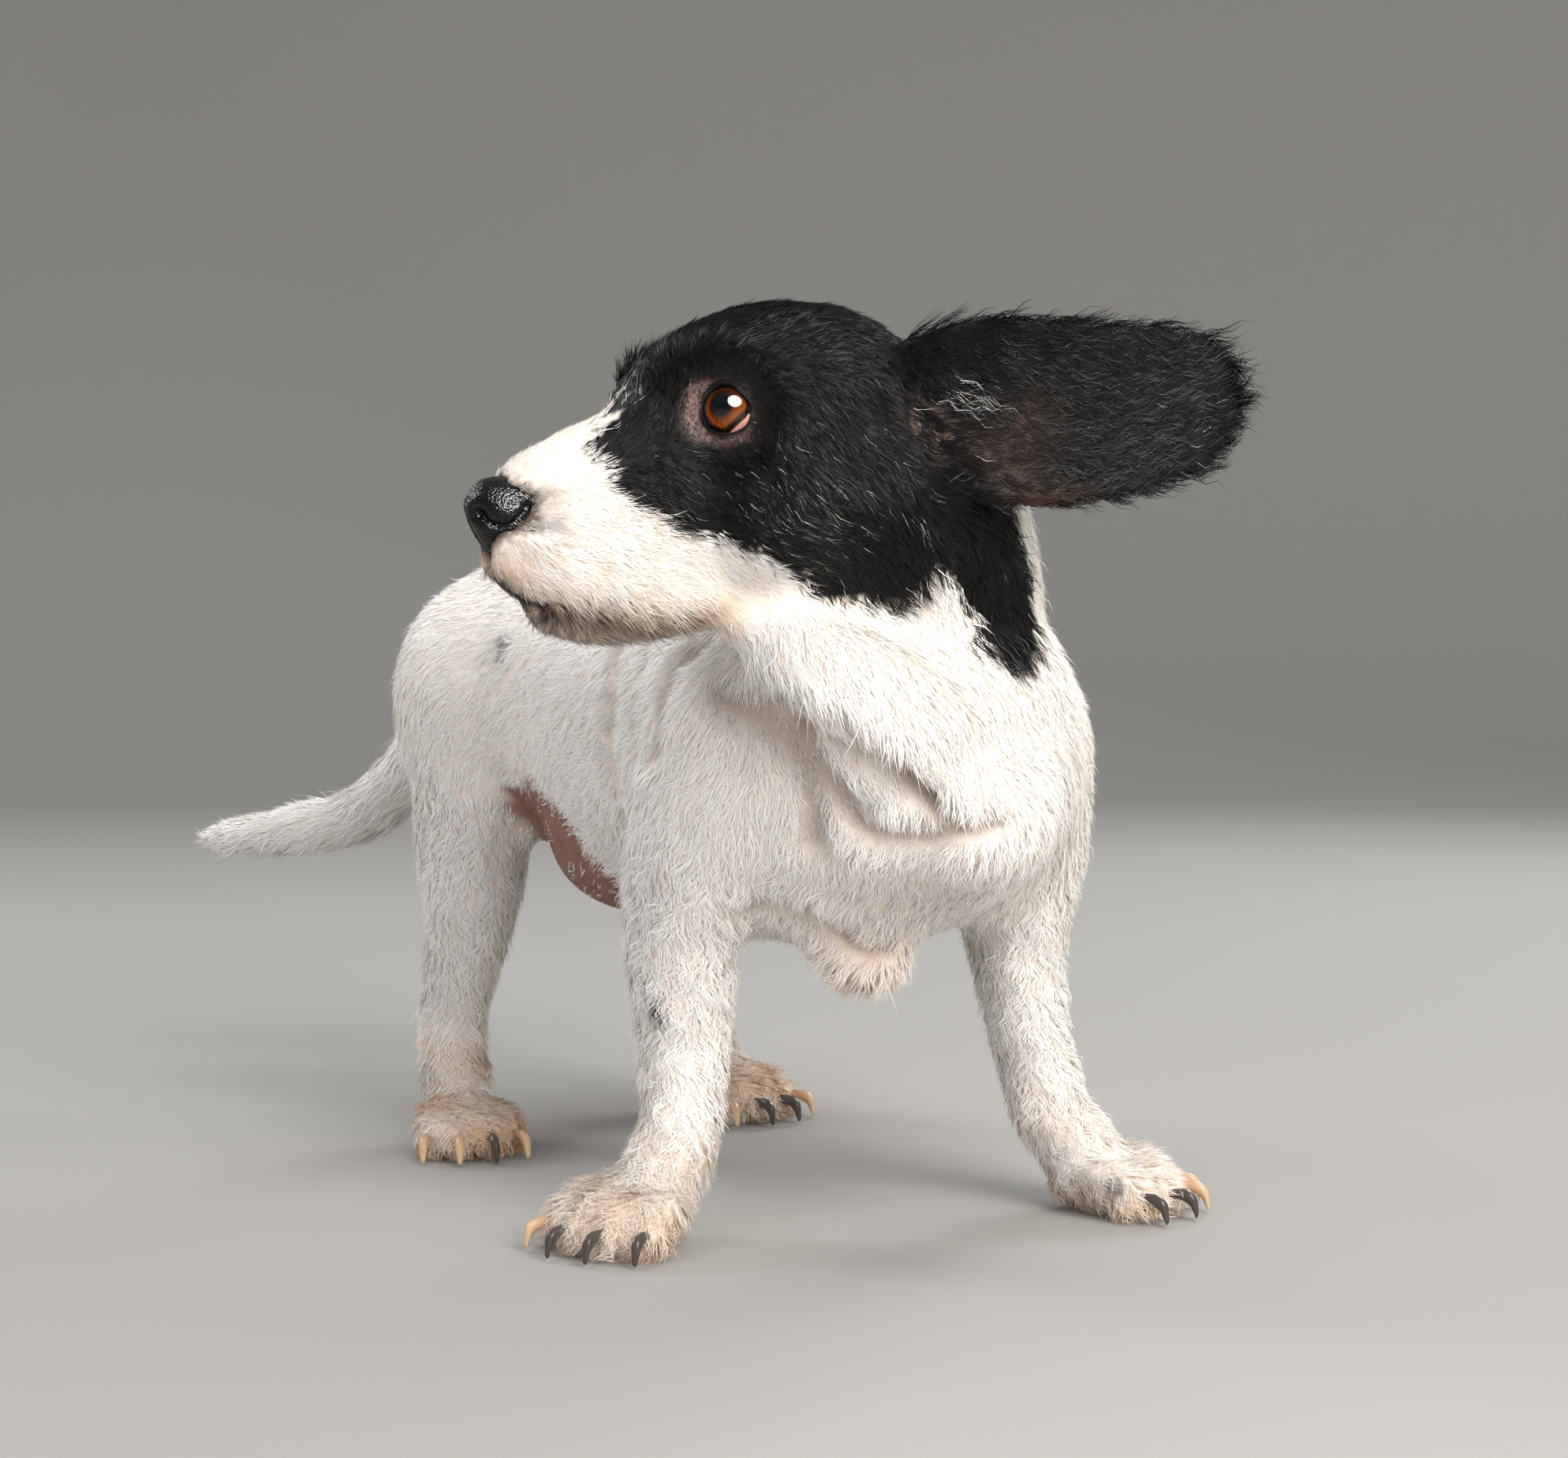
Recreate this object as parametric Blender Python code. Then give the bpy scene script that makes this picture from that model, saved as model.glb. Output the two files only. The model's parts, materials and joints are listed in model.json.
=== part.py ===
"""A small, short-legged, rough-coated dog, life size, standing and looking back over its right side.

Frame: metres, +Z up. The dog faces -Y, its left side is +X and its pads stand on Z = 0.
The solids show the coat's outer surface. The flesh is modelled whole, as tapered limbs and
swellings that one voxel remesh joins, and thin cuts then part it into the named pieces.
"""

import math

import bmesh
import bpy
import numpy as np
from mathutils import Matrix, Vector

# ---------------------------------------------------------------- driving sizes
CUT_GAP = 0.0003  # clearance between neighbouring pieces
VOXEL = 0.0034  # grid of the remesh that joins the flesh
FLESH_FACES = 2800  # triangles left in the whole flesh
SMOOTH_ROUNDS = 20
CHIP = 20  # a loose scrap of the flesh has at most this many vertices
DETAIL_COST = 0.00025  # extra cost of losing an edge of the head or the paws
EYE_RADIUS = 0.0122
LID_HEIGHT = 0.0064  # from an eye's centre out to the rim of its lids
EYE_HOLLOW = 0.028  # radius of the shallow hollow round each eye

# The head's own frame: forward to the nose, left and up, from the point between the eyes.
EYE_LEVEL = Vector((-0.104, -0.147, 0.358))
HEAD_TURN = math.radians(96)  # how far the head is turned to the dog's right
EYE_PLACE = (-0.004, 0.0235, 0.0)
EYE_OUTWARD = math.radians(52)  # from straight ahead to the way an eye opens

# ---------------------------------------------------------------- the flesh in rings
# A ring is (place, half width, half height above, half height below).
TRUNK = [
    ((0.000, -0.196, 0.190), 0.040, 0.036, 0.036),
    ((0.000, -0.180, 0.195), 0.066, 0.056, 0.058),
    ((0.000, -0.148, 0.206), 0.088, 0.074, 0.083),
    ((0.000, -0.100, 0.215), 0.099, 0.087, 0.097),
    ((0.000, -0.040, 0.218), 0.097, 0.089, 0.097),
    ((0.000, 0.030, 0.220), 0.095, 0.086, 0.092),
    ((0.000, 0.090, 0.227), 0.091, 0.083, 0.088),
    ((0.000, 0.150, 0.236), 0.095, 0.077, 0.080),
    ((0.000, 0.195, 0.241), 0.095, 0.068, 0.074),
    ((0.000, 0.223, 0.240), 0.078, 0.056, 0.064),
    ((0.000, 0.235, 0.237), 0.050, 0.036, 0.042),
]
NECK = [
    ((0.002, -0.070, 0.232), 0.084, 0.080, 0.070),
    ((-0.003, -0.120, 0.270), 0.075, 0.074, 0.070),
    ((-0.018, -0.150, 0.308), 0.064, 0.064, 0.064),
    ((-0.045, -0.152, 0.335), 0.055, 0.056, 0.058),
    ((-0.070, -0.150, 0.350), 0.048, 0.048, 0.052),
]
THROAT_FOLD = [
    ((-0.092, -0.168, 0.272), 0.015, 0.016, 0.016),
    ((-0.074, -0.190, 0.256), 0.022, 0.024, 0.024),
    ((-0.052, -0.201, 0.240), 0.025, 0.028, 0.027),
    ((-0.026, -0.200, 0.222), 0.024, 0.028, 0.026),
    ((0.002, -0.188, 0.208), 0.018, 0.022, 0.020),
]
BELLY = [
    ((-0.008, -0.010, 0.162), 0.050, 0.030, 0.037),
    ((-0.012, 0.045, 0.162), 0.066, 0.030, 0.044),
    ((-0.010, 0.095, 0.168), 0.061, 0.030, 0.050),
    ((-0.006, 0.135, 0.184), 0.044, 0.030, 0.045),
]
TAIL = [
    ((0.000, 0.218, 0.264), 0.032, 0.026, 0.026),
    ((-0.005, 0.256, 0.264), 0.027, 0.024, 0.024),
    ((-0.016, 0.292, 0.247), 0.0245, 0.022, 0.022),
    ((-0.031, 0.313, 0.210), 0.0225, 0.021, 0.021),
    ((-0.050, 0.326, 0.176), 0.0215, 0.020, 0.021),
    ((-0.073, 0.340, 0.155), 0.0205, 0.0185, 0.020),
    ((-0.099, 0.376, 0.144), 0.0180, 0.0165, 0.018),
    ((-0.120, 0.410, 0.139), 0.0150, 0.0135, 0.015),
    ((-0.132, 0.431, 0.137), 0.0100, 0.0090, 0.009),
]
# Rings of the head are (forward, up, half width, half height above, half height below).
SKULL = [
    (-0.086, -0.003, 0.038, 0.038, 0.038),
    (-0.072, -0.004, 0.048, 0.049, 0.049),
    (-0.046, -0.007, 0.054, 0.057, 0.060),
    (-0.016, -0.012, 0.049, 0.056, 0.066),
    (0.006, -0.020, 0.040, 0.047, 0.062),
    (0.022, -0.031, 0.034, 0.037, 0.052),
]
MUZZLE = [
    (0.010, -0.034, 0.035, 0.037, 0.048),
    (0.030, -0.037, 0.0315, 0.039, 0.048),
    (0.048, -0.041, 0.0295, 0.0380, 0.046),
    (0.064, -0.045, 0.0280, 0.0325, 0.041),
    (0.076, -0.051, 0.0245, 0.0275, 0.033),
    (0.083, -0.058, 0.0155, 0.0170, 0.020),
]
JAW = [
    (-0.030, -0.064, 0.030, 0.014, 0.020),
    (0.010, -0.073, 0.027, 0.014, 0.020),
    (0.045, -0.075, 0.0235, 0.014, 0.022),
    (0.062, -0.075, 0.0205, 0.014, 0.0180),
    (0.075, -0.072, 0.0130, 0.010, 0.011),
]
NOSE = [
    (0.0740, -0.0400, 0.0120, 0.0090, 0.0110),
    (0.0800, -0.0405, 0.0165, 0.0130, 0.0160),
    (0.0870, -0.0415, 0.0165, 0.0140, 0.0185),
    (0.0920, -0.0430, 0.0130, 0.0115, 0.0160),
]
# Swellings are (forward, left, up, half sizes along the same three), mirrored left and right.
BROW = (-0.002, 0.021, 0.017, 0.021, 0.018, 0.020)
CHEEK = (-0.036, 0.020, -0.038, 0.052, 0.038, 0.044)
LIP = (0.047, 0.010, -0.059, 0.041, 0.022, 0.030)
# Ears are (forward, left, up, half breadth, half thickness, cup) from the root to the tip.
RAISED_EAR = [
    (-0.064, 0.036, 0.008, 0.020, 0.0085, 0.000),
    (-0.080, 0.046, 0.006, 0.030, 0.0085, 0.008),
    (-0.100, 0.056, 0.001, 0.0390, 0.0070, 0.014),
    (-0.124, 0.064, -0.001, 0.0405, 0.0060, 0.014),
    (-0.150, 0.070, 0.000, 0.0380, 0.0055, 0.010),
    (-0.176, 0.074, 0.003, 0.0340, 0.0050, 0.007),
    (-0.195, 0.076, 0.006, 0.0270, 0.0045, 0.004),
    (-0.206, 0.076, 0.006, 0.0165, 0.0035, 0.001),
]
HANGING_EAR = [
    (-0.056, -0.040, 0.022, 0.018, 0.0085, 0.000),
    (-0.062, -0.056, 0.010, 0.028, 0.0080, 0.003),
    (-0.068, -0.066, -0.014, 0.035, 0.0065, 0.006),
    (-0.073, -0.072, -0.044, 0.036, 0.0055, 0.006),
    (-0.078, -0.076, -0.074, 0.030, 0.0050, 0.004),
    (-0.081, -0.079, -0.092, 0.018, 0.0035, 0.001),
]

# Swellings of the body are (place, half sizes).
MASSES = [
    ((-0.004, -0.158, 0.222), (0.076, 0.056, 0.080)),
    ((-0.066, -0.104, 0.205), (0.038, 0.056, 0.066)),
    ((0.066, -0.112, 0.205), (0.038, 0.056, 0.066)),
    ((-0.064, 0.182, 0.222), (0.047, 0.072, 0.068)),
    ((0.060, 0.186, 0.220), (0.043, 0.068, 0.066)),
    ((-0.017, -0.130, 0.127), (0.025, 0.030, 0.024)),
]

# ---------------------------------------------------------------- legs and paws
# Leg rings are (place, half width, half depth) from the body down to the wrist or hock.
FORELEGS = {
    "right": [
        ((-0.066, -0.100, 0.225), 0.036, 0.050),
        ((-0.074, -0.094, 0.185), 0.034, 0.046),
        ((-0.079, -0.081, 0.145), 0.029, 0.036),
        ((-0.080, -0.078, 0.112), 0.0245, 0.028),
        ((-0.080, -0.080, 0.080), 0.0215, 0.0235),
        ((-0.085, -0.088, 0.052), 0.0200, 0.0215),
        ((-0.096, -0.096, 0.032), 0.0200, 0.0205),
    ],
    "left": [
        ((0.064, -0.110, 0.225), 0.036, 0.050),
        ((0.073, -0.110, 0.185), 0.034, 0.046),
        ((0.078, -0.103, 0.142), 0.026, 0.036),
        ((0.079, -0.105, 0.110), 0.0215, 0.027),
        ((0.083, -0.109, 0.078), 0.0190, 0.0220),
        ((0.088, -0.115, 0.050), 0.0185, 0.0205),
        ((0.098, -0.122, 0.032), 0.0190, 0.0200),
    ],
}
HINDLEGS = {
    "right": [
        ((-0.050, 0.176, 0.235), 0.042, 0.062),
        ((-0.063, 0.176, 0.195), 0.039, 0.060),
        ((-0.076, 0.168, 0.155), 0.032, 0.039),
        ((-0.081, 0.162, 0.118), 0.0240, 0.029),
        ((-0.083, 0.172, 0.086), 0.0195, 0.0250),
        ((-0.085, 0.178, 0.060), 0.0185, 0.0220),
        ((-0.089, 0.164, 0.034), 0.0190, 0.0200),
    ],
    "left": [
        ((0.048, 0.182, 0.235), 0.042, 0.062),
        ((0.060, 0.184, 0.195), 0.037, 0.058),
        ((0.066, 0.176, 0.155), 0.031, 0.043),
        ((0.067, 0.180, 0.118), 0.0240, 0.030),
        ((0.067, 0.198, 0.086), 0.0195, 0.0250),
        ((0.066, 0.205, 0.060), 0.0185, 0.0220),
        ((0.066, 0.192, 0.034), 0.0190, 0.0200),
    ],
}
# A paw is (place of its heel on the floor, how far it turns out, length, width).
PAWS = {
    "forepaw_right": ((-0.096, -0.094, 0.0), math.radians(-64), 0.058, 0.054),
    "forepaw_left": ((0.095, -0.120, 0.0), math.radians(40), 0.055, 0.052),
    "hindpaw_right": ((-0.090, 0.158, 0.0), math.radians(-14), 0.056, 0.044),
    "hindpaw_left": ((0.066, 0.186, 0.0), math.radians(12), 0.055, 0.044),
}
# A toe is (sideways share of the width, reach as a share of the length, fan angle).
TOES = {
    "1": (-0.36, 0.84, -0.26),
    "2": (-0.125, 1.0, -0.08),
    "3": (0.125, 1.0, 0.08),
    "4": (0.36, 0.84, 0.26),
}
# A claw's rings are (reach past the end joint, height, half thickness).
CLAW = [
    (-0.0030, 0.0115, 0.0026),
    (0.0070, 0.0118, 0.0028),
    (0.0140, 0.0075, 0.0020),
    (0.0185, 0.0022, 0.0008),
]

# ---------------------------------------------------------------- thin cuts
# A cut is (new piece, a point in that piece, cut centre, cut normal, half length, half width).
# The half length runs along the cut's steepest line and the half width across it.
CUTS = [
    ("tail", (-0.085, 0.335, 0.156), (-0.010, 0.278, 0.256), (-0.15, 0.98, 0.02), 0.036, 0.036),
    ("foreleg_right", (-0.08, -0.08, 0.10), (-0.082, -0.088, 0.156), (-0.66, 0.0, -0.75), 0.056, 0.075),
    ("foreleg_left", (0.083, -0.105, 0.10), (0.082, -0.108, 0.156), (0.66, 0.0, -0.75), 0.056, 0.075),
    ("hindleg_right", (-0.08, 0.16, 0.11), (-0.074, 0.170, 0.168), (-0.62, 0.0, -0.78), 0.060, 0.085),
    ("hindleg_left", (0.067, 0.18, 0.11), (0.070, 0.176, 0.168), (0.62, 0.0, -0.78), 0.060, 0.085),
]
HEAD_CUT = ((-0.039, -0.152, 0.325), (-0.617, 0.0, 0.787), 0.085, 0.085)
NECK_CUT = ((0.0, -0.1325, 0.272), (0.0, -0.518, 0.855), 0.115, 0.110)
WAIST_CUT = ((0.0, 0.060, 0.215), (0.0, 1.0, 0.0), 0.130, 0.120)
PAW_CUT_HEIGHT = 0.044
LEG_OF_PAW = {
    "forepaw_right": "foreleg_right",
    "forepaw_left": "foreleg_left",
    "hindpaw_right": "hindleg_right",
    "hindpaw_left": "hindleg_left",
}
DARK_CLAWS = {
    "forepaw_right": "123",
    "forepaw_left": "34",
    "hindpaw_right": "2",
    "hindpaw_left": "23",
}

# ---------------------------------------------------------------- colours
COAT_WHITE = (0.80, 0.76, 0.70)
COAT_BLACK = (0.016, 0.015, 0.016)
NOSE_BLACK = (0.012, 0.011, 0.012)
EYE_AMBER = (0.20, 0.06, 0.012)
HORN_PALE = (0.62, 0.42, 0.24)
HORN_DARK = (0.05, 0.05, 0.055)


def material(name, colour, roughness):
    made = bpy.data.materials.get(name)
    if made is None:
        made = bpy.data.materials.new(name)
        made.use_nodes = True
        surface = made.node_tree.nodes["Principled BSDF"]
        surface.inputs["Base Color"].default_value = (*colour, 1.0)
        surface.inputs["Roughness"].default_value = roughness
        surface.inputs["Metallic"].default_value = 0.0
    return made


def head_frame():
    """The matrix from the head's frame (forward, left, up) to the dog's."""
    forward = Vector((-math.sin(HEAD_TURN), -math.cos(HEAD_TURN), 0.0))
    up = Vector((0.0, 0.0, 1.0))
    left = up.cross(forward)
    return Matrix.Translation(EYE_LEVEL) @ Matrix((forward, left, up)).transposed().to_4x4()


HEAD = head_frame()


# ---------------------------------------------------------------- shapes
def spline(values, steps):
    """Rows read off a Catmull-Rom curve through the given rows, steps to a span."""
    rows = np.array(values, float)
    padded = np.vstack([2 * rows[0] - rows[1], rows, 2 * rows[-1] - rows[-2]])
    found = []
    for i in range(len(rows) - 1):
        a, b, c, d = padded[i : i + 4]
        for t in np.arange(steps) / steps:
            bend = (2 * a - 5 * b + 4 * c - d) * t**2 + (3 * (b - c) + d - a) * t**3
            found.append(0.5 * (2 * b + (c - a) * t + bend))
    found.append(rows[-1])
    return np.array(found)


def rounded_ends(rows, turns):
    """Adds rings that close each end of a limb as half of an egg."""
    caps = []
    for row, inner in ((rows[0], rows[1]), (rows[-1], rows[-2])):
        away = row[:3] - inner[:3]
        away /= np.linalg.norm(away)
        reach = row[3:6].min()
        cap = []
        for turn in np.radians(turns):
            ring = row * math.cos(turn)
            ring[:3] = row[:3] + away * reach * math.sin(turn)
            cap.append(ring)
        caps.append(cap)
    return np.vstack([caps[0][::-1], rows, caps[1]])


def limb(
    rings, across, squareness=2.1, facing=(0, 0, 1), sides=24, steps=4, caps=(35, 62, 82), grow=0
):
    """A closed tube through the rings, with super-ellipse sections and round ends.

    A ring is (place, half width along `across`, half height above, half height below, cup).
    "Above" is the side nearest to `facing`, and the cup bends both edges that way.
    """
    rows = np.array([(*ring[0], *ring[1:], 0.0)[:7] for ring in rings], float)
    rows[:, 3:6] += grow
    rows = rounded_ends(spline(rows, steps), caps)
    places, sizes = rows[:, :3], rows[:, 3:]
    tangents = np.gradient(places, axis=0)
    tangents /= np.linalg.norm(tangents, axis=1, keepdims=True)
    across = np.array(across, float)
    side = across - tangents * (tangents @ across)[:, None]
    side /= np.linalg.norm(side, axis=1, keepdims=True)
    up = np.cross(side, tangents)
    up *= 1 if (up @ np.array(facing, float)).sum() > 0 else -1
    angles = np.arange(sides) * 2 * math.pi / sides
    bend = 2 / squareness
    wide = np.sign(np.cos(angles)) * abs(np.cos(angles)) ** bend
    high = np.sign(np.sin(angles)) * abs(np.sin(angles)) ** bend
    heights = np.where(high > 0, sizes[:, 1:2], sizes[:, 2:3]) * high + sizes[:, 3:4] * wide**2
    points = places[:, None] + side[:, None] * (sizes[:, 0:1] * wide)[..., None]
    points = points + up[:, None] * heights[..., None]
    return tube(points.reshape(-1, 3), len(rows), sides)


def tube(points, rings, sides):
    """A bmesh with triangles between successive rings of points and a face at each end."""
    shape = bmesh.new()
    verts = [shape.verts.new(point) for point in points]
    for ring in range(rings - 1):
        for k in range(sides):
            a, b = ring * sides + k, ring * sides + (k + 1) % sides
            shape.faces.new((verts[a], verts[b], verts[b + sides]))
            shape.faces.new((verts[a], verts[b + sides], verts[a + sides]))
    shape.faces.new(verts[:sides][::-1])
    shape.faces.new(verts[-sides:])
    bmesh.ops.recalc_face_normals(shape, faces=shape.faces)
    return shape


def egg(place, halves, segments=28):
    """An ellipsoid of the given half sizes."""
    shape = bmesh.new()
    bmesh.ops.create_uvsphere(shape, u_segments=segments, v_segments=segments // 2 + 2, radius=1.0)
    matrix = Matrix.Translation(place) @ Matrix.Diagonal((*halves, 1.0))
    bmesh.ops.transform(shape, matrix=matrix, verts=shape.verts)
    return shape


def slab(centre, normal, half_length, half_width, half_thickness=CUT_GAP / 2):
    """A thin box square to `normal`. Its length runs along its own steepest line."""
    normal = Vector(normal).normalized()
    steep = (Vector((0, 0, 1)) - normal * normal.z).normalized()
    turn = Matrix((steep, normal.cross(steep), normal)).transposed().to_4x4()
    shape = bmesh.new()
    bmesh.ops.create_cube(shape, size=2.0)
    size = Matrix.Diagonal((half_length, half_width, half_thickness, 1.0))
    return placed(shape, Matrix.Translation(centre) @ turn @ size)


def under_floor():
    """A block whose top is the floor, to cut the pads flat."""
    shape = bmesh.new()
    bmesh.ops.create_cube(shape, size=1.0, matrix=Matrix.Translation((0, 0, -0.5)))
    return shape


def placed(shape, matrix):
    bmesh.ops.transform(shape, matrix=matrix, verts=shape.verts)
    return shape


def mesh_from(shapes, name):
    """One mesh that holds all the shapes, which are freed."""
    whole = bmesh.new()
    for shape in shapes:
        scrap = bpy.data.meshes.new("scrap")
        shape.to_mesh(scrap)
        whole.from_mesh(scrap)
        shape.free()
        bpy.data.meshes.remove(scrap)
    mesh = bpy.data.meshes.new(name)
    whole.to_mesh(mesh)
    whole.free()
    return mesh


def new_object(name, mesh, surface=None):
    """Links an object. One without a surface material is a helper."""
    made = bpy.data.objects.new(name, mesh)
    bpy.context.scene.collection.objects.link(made)
    if surface is None:
        made.hide_render = True
        made.display_type = "WIRE"
    else:
        mesh.materials.clear()
        mesh.materials.append(surface)
    return made


def applied(obj):
    """Makes the object's modifiers permanent."""
    bpy.context.view_layer.update()
    graph = bpy.context.evaluated_depsgraph_get()
    mesh = bpy.data.meshes.new_from_object(obj.evaluated_get(graph))
    obj.modifiers.clear()
    obj.data = mesh
    return obj


def cut(obj, shapes):
    """Takes the shapes away from the object, one after another, for good."""
    for shape in shapes:
        cutter = new_object("cutter", mesh_from([shape], "cutter"))
        boolean = obj.modifiers.new("cut", "BOOLEAN")
        boolean.operation = "DIFFERENCE"
        boolean.solver = "EXACT"
        boolean.object = cutter
        applied(obj)
        bpy.data.objects.remove(cutter)
    return obj


# ---------------------------------------------------------------- the flesh
def head_shapes():
    across = (0.0, 1.0, 0.0)
    shapes = [
        limb([((f, 0.0, u), *sizes) for f, u, *sizes in SKULL], across, 2.15),
        limb([((f, 0.0, u), *sizes) for f, u, *sizes in MUZZLE], across, 2.5),
        limb([((f, 0.0, u), *sizes) for f, u, *sizes in JAW], across, 2.3),
    ]
    for f, l, u, *halves in (BROW, CHEEK, LIP):
        shapes += [egg((f, side * l, u), halves) for side in (-1, 1)]
    return [placed(shape, HEAD) for shape in shapes]


def nose_shape(grow=0):
    rings = [((f, 0.0, u), *sizes) for f, u, *sizes in NOSE]
    return placed(limb(rings, (0.0, 1.0, 0.0), 2.4, sides=14, steps=1, caps=(40, 75), grow=grow), HEAD)


def nostril_shapes():
    """Comma-shaped hollows, each a round pit with a slit that runs out to the side."""
    shapes = []
    for side in (-1, 1):
        slit = [
            ((0.1010, side * 0.0058, -0.0415), 0.0028, 0.0034, 0.0034),
            ((0.0970, side * 0.0085, -0.0430), 0.0026, 0.0034, 0.0034),
            ((0.0920, side * 0.0150, -0.0470), 0.0014, 0.0018, 0.0018),
            ((0.0860, side * 0.0180, -0.0500), 0.0009, 0.0012, 0.0012),
        ]
        shapes.append(placed(limb(slit, (0.0, 0.0, 1.0), 2.0, sides=6, steps=1, caps=(50,)), HEAD))
    return shapes


def ear_shape(rings, across, grow=0):
    """A flap: broad along `across`, thin the other way, and cupped towards the left."""
    rows = [((f, l, u), broad, thin, thin, cup) for f, l, u, broad, thin, cup in rings]
    flap = limb(rows, across, 2.0, (0, 1, 0), sides=14, steps=1, caps=(40, 75), grow=grow)
    return placed(flap, HEAD)


def eye_frame(side):
    """Local +Z runs out through the pupil of the eye on the given side (1 is the left)."""
    f, l, u = EYE_PLACE
    outward = Vector((math.cos(EYE_OUTWARD), side * math.sin(EYE_OUTWARD), 0.0))
    return HEAD @ Matrix.Translation((f, side * l, u)) @ outward.to_track_quat("Z", "Y").to_matrix().to_4x4()


def eye_shape(side, grow=0):
    radius = EYE_RADIUS + grow
    return placed(egg((0, 0, 0), (radius, radius, radius), 14), eye_frame(side))


def leg_shape(rings):
    return limb([(place, wide, deep, deep) for place, wide, deep in rings], (1.0, 0.0, 0.0))


def paw_frame(heel, turn_out):
    """Local +Y runs from the heel to the toes, and +X to the dog's right."""
    return Matrix.Translation(heel) @ Matrix.Rotation(turn_out + math.pi, 4, "Z")


def toe_line(toe, length, width):
    """Places of one toe's root, knuckle, end joint and tip, in the paw's frame."""
    share, reach, fan = TOES[toe]
    rows = [(0.36, 0.0190), (0.58, 0.0190), (0.80, 0.0140), (0.93, 0.0095)]
    spread = math.tan(fan) * reach * length
    return [(share * width + spread * (r - 0.4), r * reach * length, z) for r, z in rows]


def paw_shapes(heel, turn_out, length, width):
    frame = paw_frame(heel, turn_out)
    half = width / 2
    shapes = [
        egg((0, 0.18 * length, 0.019), (0.76 * half, 0.34 * length, 0.019)),
        egg((0, 0.42 * length, 0.013), (0.88 * half, 0.34 * length, 0.0155)),
        egg((0, 0.38 * length, 0.006), (0.62 * half, 0.22 * length, 0.0085)),
    ]
    thick = 0.180 * width
    for toe in TOES:
        line = toe_line(toe, length, width)
        sizes = [thick * k for k in (1.0, 1.06, 0.96, 0.76)]
        shapes.append(limb([(place, s, s, s) for place, s in zip(line, sizes)], (1.0, 0.0, 0.0)))
        pad = line[2]
        shapes.append(egg((pad[0], pad[1], 0.0060), (thick * 0.85, thick * 1.15, 0.0078)))
    return [placed(shape, frame) for shape in shapes]


def claw_shape(paw, toe, grow=0):
    """A curved, tapering horn that leaves the toe's end and comes down to the floor."""
    heel, turn_out, length, width = PAWS[paw]
    line = toe_line(toe, length, width)
    end = Vector(line[3])
    fan = TOES[toe][2]
    rings = []
    for reach, height, thick in CLAW:
        place = (end.x + reach * math.sin(fan), end.y + reach * math.cos(fan), height)
        rings.append((place, thick * 0.8, thick, thick))
    horn = limb(rings, (1.0, 0.0, 0.0), sides=6, steps=1, caps=(50,), grow=grow)
    return placed(horn, paw_frame(heel, turn_out))


def sink_eyes(mesh):
    """Lowers the face round each eye to its lids, so each eye sits in a shallow hollow.

    Along the eye's own axis a point above the rim comes down to it, wholly over the eye
    itself and less and less out to the hollow's edge.
    """
    places = np.array([v.co for v in mesh.vertices])
    for side in (-1, 1):
        frame = np.array(eye_frame(side))
        local = (places - frame[:3, 3]) @ frame[:3, :3]
        radius = np.hypot(local[:, 0], local[:, 1])
        rim = LID_HEIGHT + 0.30 * np.maximum(radius - EYE_RADIUS, 0)
        fade = np.clip((EYE_HOLLOW - radius) / (EYE_HOLLOW - EYE_RADIUS), 0, 1)
        fade = fade * fade * (3 - 2 * fade)
        local[:, 2] -= np.where(local[:, 2] > rim, (local[:, 2] - rim) * fade, 0)
        places = local @ frame[:3, :3].T + frame[:3, 3]
    mesh.vertices.foreach_set("co", places.ravel())
    mesh.update()


def thinned(flesh):
    """Softens the joins and drops to FLESH_FACES triangles, sparing the head and the paws."""
    places = np.array([v.co for v in flesh.data.vertices])
    to_head = np.array(HEAD.inverted())
    local = places @ to_head[:3, :3].T + to_head[:3, 3]
    near_head = np.clip((0.115 - np.abs(local[:, 0] - 0.03)) / 0.03, 0, 1) * (places[:, 2] > 0.262)
    near_floor = np.clip((0.045 - places[:, 2]) / 0.02, 0, 1)
    on_legs = np.clip((0.140 - places[:, 2]) / 0.03, 0, 1)
    fine = np.clip(near_head + near_floor, 0, 1)
    detail = np.clip(fine + 0.6 * on_legs, 0, 1)
    soft = flesh.vertex_groups.new(name="soft")
    coarse = flesh.vertex_groups.new(name="coarse")
    for i, value in enumerate(fine):
        soft.add([i], 1.0 - 0.65 * value, "REPLACE")
        coarse.add([i], 1.0 - 0.5 * float(detail[i]), "REPLACE")
    for rounds in (SMOOTH_ROUNDS, 4):
        smooth = flesh.modifiers.new("smooth", "SMOOTH")
        smooth.factor = 0.5
        smooth.iterations = rounds
        smooth.vertex_group = "soft"
        applied(flesh)
        sink_eyes(flesh.data)
    fewer = flesh.modifiers.new("fewer", "DECIMATE")
    fewer.ratio = FLESH_FACES / (2 * len(flesh.data.polygons))
    fewer.vertex_group = "coarse"
    fewer.vertex_group_factor = DETAIL_COST
    fewer.use_collapse_triangulate = True
    return applied(flesh)


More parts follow.
